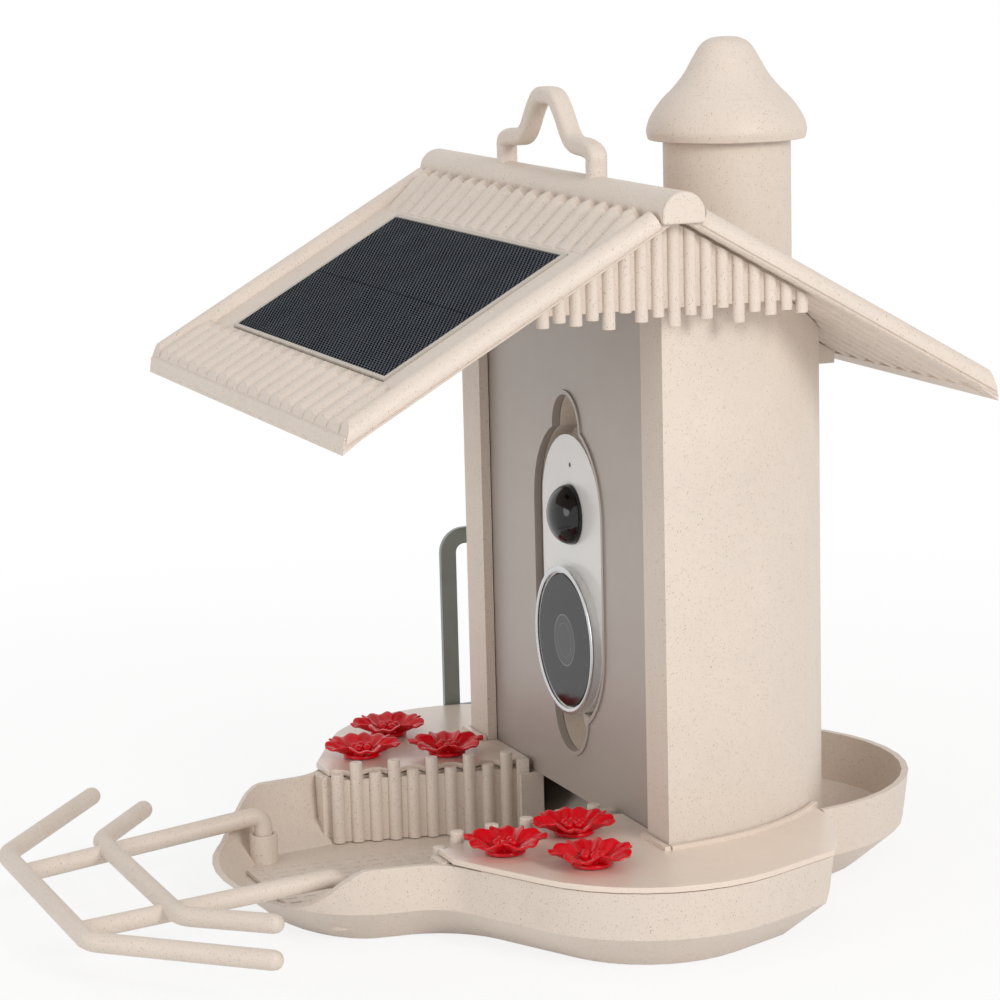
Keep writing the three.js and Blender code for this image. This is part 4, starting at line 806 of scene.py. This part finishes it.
# flowers: five cupped petals with ribs round small beads; heights count from the lid
flower = {"places": ((74, -52), (62.5, -22), (101.5, -31.5)), "turns": (0.2, 0.9, 0.5), "seat": 32.3,
          "petals": 5, "beadRing": 2.9, "bead": 1.75, "beadHeight": 3.2,
          "stem": ((1.2, -11.3), (3.75, -11.3), (4.15, -10.9), (4.15, 0), (6.5, 0), (7, 0.3), (7, 1.1),
                   (6.6, 1.7), (4.4, 2.2), (3.2, 3.1), (2.3, 3.5), (1.5, 3.4), (1.2, 2.9), (1.2, -11.3))}
# lengths in millimetres; the others are shares, powers and turns of the petal's formula
petal = {"inner": 3.2, "outer": 15.1, "tip": 0.975, "corner": 0.3, "cornerPower": 2.6, "scallop": 0.35,
         "ribs": 3, "spread": 0.58, "waist": 0.62, "flare": 0.5, "flareReach": 1.1, "flareTurn": 0.55,
         "foot": 1.4, "rise": 4.8, "risePower": 1.35, "cup": 2.1, "cupFade": 0.35, "ribHeight": 0.5,
         "ribStart": 2.2, "curl": 1.1, "curlFrom": 0.8, "thickness": 0.75}


def makePetal():
    bpy.ops.mesh.primitive_grid_add(x_subdivisions=12, y_subdivisions=18, size=1, location=(0, 0, 0))
    leaf = bpy.context.object
    for vertex in leaf.data.vertices:
        u, v = vertex.co.x + 0.5, vertex.co.y * 2  # 0 to 1 outwards, -1 to 1 across
        wave = math.cos(v * math.pi * petal["ribs"])
        tip = petal["outer"] * (petal["tip"] - petal["corner"] * abs(v) ** petal["cornerPower"])
        tip += petal["scallop"] * wave
        radius = petal["inner"] + (tip - petal["inner"]) * u
        flare = math.sin(min(1, u * petal["flareReach"]) * math.pi * petal["flareTurn"])
        angle = v * petal["spread"] * (petal["waist"] + petal["flare"] * flare)
        lift = petal["foot"] + petal["rise"] * u ** petal["risePower"]
        lift += petal["cup"] * v ** 2 * u * (1 - u * petal["cupFade"])
        lift += petal["ribHeight"] * wave * min(1, u * petal["ribStart"])
        lift -= petal["curl"] * max(0, u - petal["curlFrom"]) / (1 - petal["curlFrom"])
        vertex.co = (radius * math.cos(angle) * mm, radius * math.sin(angle) * mm, lift * mm)
    addModifier(leaf, "SOLIDIFY", thickness=petal["thickness"] * mm, offset=-1)
    return addModifier(leaf, "SUBSURF", levels=1, render_levels=1)


def makeFlowers():
    step = math.tau / flower["petals"]
    leaf = makePetal()
    pieces = [leaf] + [copied(leaf, "petal", turn=step * i) for i in range(1, flower["petals"])]
    pieces.append(turned("stem", scaled(*flower["stem"]), (0, 0, 0), steps=40))
    for i in range(flower["petals"]):
        x, y = (flower["beadRing"] * way(step * (i + 0.5)) * mm for way in (math.cos, math.sin))
        bpy.ops.mesh.primitive_uv_sphere_add(segments=20, ring_count=12, radius=flower["bead"] * mm,
                                             location=(x, y, flower["beadHeight"] * mm))
        pieces.append(settle(bpy.context.object))
    bloom = smooth(joined("flower", *pieces), 45)
    for name, side in (("right", 1), ("left", -1)):
        for i, (x, y) in enumerate(flower["places"]):
            place, = scaled((side * x, y, flower["seat"]))
            dress(copied(bloom, f"flower_{name}_{i + 1}", place, side * flower["turns"][i]),
                  f"flower_port_{name}_{i + 1}")
    bpy.data.objects.remove(bloom)


makeFlowers()
print("flowers made")


# roof: two ribbed slopes, made flat with the eave towards -y, then leaned; the pocket holds the solar panel
roof = {"halfLength": 112, "thickness": 3, "joint": 0.15, "step": 0.9, "round": 0.3, "start": 8.9,
        "past": 142.8, "eaveCrown": 133, "eaveFoot": 137.8, "eaveDrop": 3.9, "crownHeight": 2.5,
        "slabBack": 0.08, "eaveBar": 9, "barTop": -1.5, "barBack": 0.3, "lipTop": 0.6, "lipDepth": 1.4,
        "lipBack": 0.04, "lipSide": 0.05, "verge": 8.5, "bead": 4.2, "beadFoot": 1.5, "beadRound": 0.4,
        "cord": 0.7, "cordUp": 0.62, "cordIn": 0.3, "upperEnd": 30.4, "lowerStart": 110,
        "pocket": ((-82.3, 82.3), (-107.5, -31.9), (-2.2, 3))}
# rib widths are shares of the pitch; tooth and fade are the pointed and the sinking ends
ribs = {"count": 17, "span": 102.7, "rise": 3.5, "width": 0.49, "crest": 1.55, "underRise": 0.85,
        "underWidth": 0.27, "underStop": 0.6, "skirt": 0.2, "tooth": 3, "toothWidth": 0.05, "toothRise": 0.95,
        "fade": 12, "fadeWidth": 0.85, "fadeRise": 0.04}
chimney = {"y": 68.5, "hole": 23.5, "low": 112.8, "high": 255.6}
slope = math.radians(shared["slope"])
ribPitch = ribs["span"] * 2 / ribs["count"]


def eaved(piece):  # what lies beyond the leaning eave face goes
    return trimmed(piece, (0, -roof["eaveFoot"] * mm, -roof["eaveDrop"] * mm),
                   (0, -roof["crownHeight"] - roof["eaveDrop"], roof["eaveFoot"] - roof["eaveCrown"]))


def copiedRibs(bar):
    places = [(ribPitch * (i + 0.5) - ribs["span"]) * mm for i in range(ribs["count"])]
    rows = [copied(bar, "rib", (x, 0, 0)) for x in places]
    bpy.data.objects.remove(bar)
    return joined("rib_row", *rows)


def shapedBar(sides, halfWidth, start, end, riseOf):  # riseOf: height from a vertex of a bar of radius 1
    bpy.ops.mesh.primitive_cylinder_add(vertices=sides, radius=1, depth=1, rotation=(math.pi / 2, 0, 0),
                                        location=(0, 0, 0))
    bar = settle(bpy.context.object)
    for vertex in bar.data.vertices:
        x, y, z = vertex.co
        vertex.co = (x * halfWidth * mm, -(start if y > 0 else end) * mm, riseOf(y, z) * mm)
    return bar


def upperRibs(start, end, fade, crest):  # pointed above; fading below unless they run over the eave
    bar = shapedBar(32, ribPitch * ribs["width"], start + ribs["tooth"], end - fade,
                    lambda y, z: max(z * (crest if y > 0 else 1), -ribs["skirt"]) * ribs["rise"])
    for reach, side, width, rise in ((ribs["tooth"], 1, ribs["toothWidth"], ribs["toothRise"]),
                                     (fade, -1, ribs["fadeWidth"], ribs["fadeRise"])):
        if reach:
            chooseFaces(bar, lambda face: face.normal.y * side > 0.9)
            bpy.ops.mesh.extrude_region_move(TRANSFORM_OT_translate={"value": (0, side * reach * mm, 0)})
            bpy.ops.transform.resize(value=(width, 1, rise), center_override=(0, 0, 0))
            bpy.ops.object.mode_set(mode="OBJECT")
    return copiedRibs(eaved(bar) if end > roof["eaveFoot"] else bar)


def underRibs():
    return copiedRibs(shapedBar(
        32, ribPitch * ribs["underWidth"], roof["start"], roof["eaveFoot"] - ribs["underStop"],
        lambda y, z: min(z, ribs["skirt"]) * ribs["underRise"] - roof["thickness"]))


def makePlates(pocketed):  # the slab, the bar under its eave and the lip along the eave
    thick, drop, side = roof["thickness"], roof["eaveDrop"], roof["halfLength"] - roof["step"]
    lean = (roof["eaveFoot"] - roof["eaveCrown"]) / (roof["crownHeight"] + drop)
    pulled = lambda name, outline, half: profiled(name, scaled(*outline), -half * mm, half * mm)
    ridgeAt = lambda z: (-(roof["joint"] - z * math.sin(slope)) / math.cos(slope), z)
    eaveAt = lambda z, back: (lean * (z + drop) + back - roof["eaveFoot"], z)
    slab = pulled("slab", (ridgeAt(0), eaveAt(0, roof["slabBack"]), eaveAt(-thick, roof["slabBack"]),
                           ridgeAt(-thick)), side)
    if pocketed:
        carved(slab, block(*scaled(*roof["pocket"])))
    barBack = roof["eaveBar"] - roof["eaveFoot"]
    bar = pulled("bar", ((barBack, roof["barTop"]), eaveAt(roof["barTop"], roof["barBack"]),
                         eaveAt(-drop, roof["barBack"]), (barBack, -drop)),
                 roof["halfLength"] - roof["verge"])
    lip = pulled("lip", (eaveAt(roof["lipTop"], roof["lipDepth"]), eaveAt(roof["lipTop"], roof["lipBack"]),
                         eaveAt(-drop, roof["lipBack"]), (barBack, -thick), (barBack, roof["barTop"])),
                 side - roof["lipSide"])
    return [softenEdges(plate, roof["round"] * mm, 2, 30) for plate in (slab, bar, lip)]


def makeVerge(way):  # a round bead and the cord below it, along one side
    radius, middle = roof["verge"] / 2, roof["halfLength"] - roof["verge"] / 2
    pieces = []
    for across, high, low, level in ((radius, roof["bead"], roof["beadFoot"], 0),
                                     (radius - roof["cordIn"], roof["cord"], roof["cord"],
                                      roof["cordUp"] - roof["thickness"])):
        edge = shapedBar(40, across, roof["start"], roof["past"], lambda y, z: level + max(z * high, -low))
        edge.data.transform(Matrix.Translation((way * middle * mm, 0, 0)))
        pieces.append(softenEdges(eaved(edge), roof["beadRound"] * mm, 2, 60))
    return pieces


def makeRoof():
    for name, rear in (("front", False), ("rear", True)):
        plates = makePlates(not rear)
        if not rear:
            plates.append(upperRibs(roof["start"], roof["upperEnd"], ribs["fade"], ribs["crest"]))
        plates.append(upperRibs(roof["start"] if rear else roof["lowerStart"], roof["past"], 0, 1))
        plates.append(underRibs())
        verges = makeVerge(-1) + makeVerge(1)
        turn = Matrix.Rotation(math.pi if rear else 0, 4, "Z") @ Matrix.Rotation(slope, 4, "X")
        for piece in plates + verges:
            piece.data.transform(Matrix.Translation((0, 0, shared["ridge"] * mm)) @ turn)
        for piece in plates if rear else ():
            carved(piece, rod((0, chimney["y"] * mm), chimney["hole"] * mm, chimney["low"] * mm,
                              chimney["high"] * mm, 64))
        dress(evened(smooth(joined(name + "_roof", *plates, *verges), 30)), f"roof_{name}_slope")


makeRoof()
print("roof made")


# ridge cap with its knobs, hanging loop and gable fringes
ridge = {"radius": 7.5, "centre": 248.8, "gap": 0.3, "knob": 1.9, "knobFoot": 245.8, "knobRound": 0.8,
         "into": 0.3}
hanger = {"path": ((41.5, 253.3), (41.5, 259.3), (41, 263.6), (34.5, 265.4), (25, 266.1), (19.3, 269),
                   (12.6, 276.6), (7, 281), (0, 281.7)), "width": 6.8, "depth": 6.2, "round": 2.0}
fringe = {"x": 104.4, "rod": 4.3, "pitch": 5.8, "plate": 2, "plateFoot": 217.6, "clear": 1.1,
          "plateRound": 0.2, "rodRound": 0.3,
          "feet": (213.9, 215.3, 213.9, 215.3, 212, 217.1, 213.7, 215, 211.6, 215, 213.4, 216.7, 211.4, 214.6,
                   213.2, 214.5, 213.2)}


def makeRidge():
    radius, centre = ridge["radius"], ridge["centre"]
    seat = shared["ridge"] + ridge["gap"] / math.cos(slope)
    side = seat - radius * math.tan(slope)
    turns = [math.pi * i / 32 for i in range(33)]
    arch = [(radius * math.cos(a), centre + radius * math.sin(a)) for a in turns]
    inner = roof["halfLength"] + ridge["gap"]
    half = (inner + ridge["into"]) * mm
    pieces = [profiled("ridge_roll", scaled((0, seat), (radius, side), *arch, (-radius, side)), -half, half)]
    knob = scaled(*arch, (-radius, ridge["knobFoot"]), (radius, ridge["knobFoot"]))
    for way in (-1, 1):
        ends = sorted((way * inner * mm, way * (inner + ridge["knob"]) * mm))
        tip = profiled("ridge_knob", knob, *ends)
        pieces.append(softenEdges(tip, ridge["knobRound"] * mm, 4, 40))
    dress(evened(smooth(joined("ridge_roll", *pieces), 40)), "ridge_cap")


def roundedSection(width, depth, corner):
    curve = bpy.data.curves.new("section", "CURVE")
    curve.dimensions = "2D"
    spline = curve.splines.new("POLY")
    corners = [(sx * (width / 2 - corner), sy * (depth / 2 - corner), turn)
               for sx, sy, turn in ((1, 1, 0), (-1, 1, 1), (-1, -1, 2), (1, -1, 3))]
    arcs = [(x, y, (turn + i / 5) * math.pi / 2) for x, y, turn in corners for i in range(6)]
    spots = [(x + corner * math.cos(a), y + corner * math.sin(a)) for x, y, a in arcs]
    spline.points.add(len(spots) - 1)
    for point, (x, y) in zip(spline.points, spots):
        point.co = (x, y, 0, 1)
    spline.use_cyclic_u = True
    return linked("section", curve)


def makeLoop():
    half = list(hanger["path"])
    path = scaled(*[(x, 0, z) for x, z in half] + [(-x, 0, z) for x, z in half[-2::-1]])
    section = roundedSection(*scaled((hanger["width"], hanger["depth"], hanger["round"]))[0])
    loop = swept("hanging_loop", flowing(path, 7), section=section)
    bpy.data.objects.remove(section)
    dress(smooth(loop, 40), "hanger_loop")


def makeFringes():
    top, x, foot = shared["ridge"], fringe["x"], fringe["plateFoot"]
    under = top - (roof["thickness"] + fringe["clear"]) / math.cos(slope)
    reach = (under - foot) / math.tan(slope)
    plate = block(*scaled((x - fringe["plate"], x), (-reach, reach), (foot, top)))
    pieces = [softenEdges(plate, fringe["plateRound"] * mm)]
    for i, foot in enumerate(fringe["feet"]):
        y = fringe["pitch"] * (i - (len(fringe["feet"]) - 1) / 2)
        hanging = rod((x * mm, y * mm), fringe["rod"] / 2 * mm, foot * mm, top * mm, 22)
        pieces.append(softenEdges(hanging, fringe["rodRound"] * mm, 3))
    for piece in pieces:
        for way in (-1, 1):
            trimmed(piece, (0, 0, under * mm), (0, way * math.sin(slope), math.cos(slope)))
    dressPair("fringe", "gable_fringe", *pieces)


makeRidge()
makeLoop()
makeFringes()
print("ridge, loop and fringes made")


# chimney cap: radius and height above the brim
cap = {"brim": 263.7, "foot": ((24, 0), (27.6, 0), (28.1, 0.1)),
       "dome": ((28.4, 0.4), (28.9, 3.6), (27.3, 8.5), (23.3, 14.2), (19.3, 18.2), (15.3, 23.1), (12, 28.8),
                (8.8, 33.7), (4.8, 35.9), (0, 36.3)),
       "hollow": ((0, 34.1), (3, 33.8), (6.6, 32.6), (9.6, 28.6), (12.6, 23), (16, 18)),
       "plug": ((18.4, 5.8), (18.4, -7.7), (20.6, -7.7), (20.6, 3.6), (24, 3.6), (24, 0))}


def makeCap():
    dome = [(max(0, spot.x), spot.y) for spot in flowing([(r, h, 0) for r, h in cap["dome"]], 5)]
    outline = [*cap["foot"], *dome, *cap["hollow"], *cap["plug"]]
    profile = scaled(*[(radius, cap["brim"] + height) for radius, height in outline])
    dress(smooth(turned("cap_dome", profile, (0, chimney["y"] * mm, 0), steps=96), 32), "chimney_cap")


makeCap()


# camera front: radius and depth along y, from the front inwards
lens = {"ring": ((25, 1.6), (26.5, 1.6), (26.95, 1.45), (27.1, 1.2), (26.85, 0.95), (26.3, 0.8), (25.5, 0.85),
                 (25, 1.15), (25, 1.6)),
        "glass": ((0, 1.5), (14.58, 1.5), (23.8, 1.5), (24.3, 1.8), (24.3, 3.2), (0, 3.2)),
        "hole": ((0, 4.96), (0.9, 4.96), (0.9, 5.2), (0, 5.2)), "holeZ": 150,
        "domeZ": 132, "dome": 11, "domeRise": 8, "wall": 1.1, "seat": 4.7, "neck": 9.9, "neckBack": 7}


def makeCameraFront():
    spot = lambda z: (0, 0, z * mm)
    ring = turned("trim_ring", scaled(*lens["ring"]), spot(shared["windowZ"]), "Y", 96)
    dress(smooth(ring, 35), "camera_bezel")
    glass = turned("window_disc", scaled(*lens["glass"]), spot(shared["windowZ"]), "Y", 96)
    dress(smooth(glass, 30), "camera_glass")
    seat, neck, wall, back, rise = (lens[key] for key in ("seat", "neck", "wall", "neckBack", "domeRise"))
    turns = [math.pi * i / 36 for i in range(19)]
    outer = [(lens["dome"] * math.cos(a), seat - rise * math.sin(a)) for a in turns]
    inner = [((neck - wall) * math.cos(a), seat - (rise - wall) * math.sin(a)) for a in turns[::-1]]
    outline = [(neck, seat)] + outer + inner + [(neck - wall, back), (neck, back), (neck, seat)]
    dress(smooth(turned("sensor_dome", scaled(*outline), spot(lens["domeZ"]), "Y", 72), 35), "pir_dome")
    hole = turned("microphone_hole", scaled(*lens["hole"]), spot(lens["holeZ"]), "Y", 20)
    coat(smooth(hole, 30), finishes["dark_plastic"])
    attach(hole, "camera")


makeCameraFront()


# screws with a cross recess; crown and recess are shares of the head's radius and height
screw = {"head": 3.4, "height": 1.7, "shank": 1.5, "slot": 0.35, "slotDeep": 0.9, "slotReach": 0.6,
         "point": 0.3, "crown": ((0, 0), (0.6, 0), (0.86, 0.15), (1, 0.5), (1, 1)), "cameraShank": 1.1}


def screwPiece(name, head, height, shank, length):  # head down, shank up, in millimetres
    profile = [(head * across, height * up) for across, up in screw["crown"]]
    profile += [(shank, height), (shank, length - shank), (shank * screw["point"], length), (0, length)]
    piece = turned(name, scaled(*profile), (0, 0, 0), steps=28)
    width, reach = screw["slot"], head * screw["slotReach"]
    for x, y in ((width, reach), (reach, width)):
        carved(piece, block(*scaled((-x, x), (-y, y), (-1, screw["slotDeep"]))))
    return smooth(piece, 35)


def makeScrews():
    for node in sorted(name for name in frame["nodes"] if "_screw" in name):
        low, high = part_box(node)
        middle, size = (low + high) / 2, (high - low) / mm
        if node.startswith("camera"):
            shape = (size.x / 2, size.x / 4, screw["cameraShank"], size.y)
            turn = Matrix.Translation((middle.x, high.y, middle.z)) @ Matrix.Rotation(math.pi / 2, 4, "X")
        else:
            shape = (screw["head"], screw["height"], screw["shank"], size.z)
            turn = Matrix.Translation((middle.x, middle.y, low.z))
        piece = screwPiece(node + "_cross", *shape)
        piece.data.transform(turn)
        dress(piece, node)


makeScrews()
print("cap, camera front and screws made")
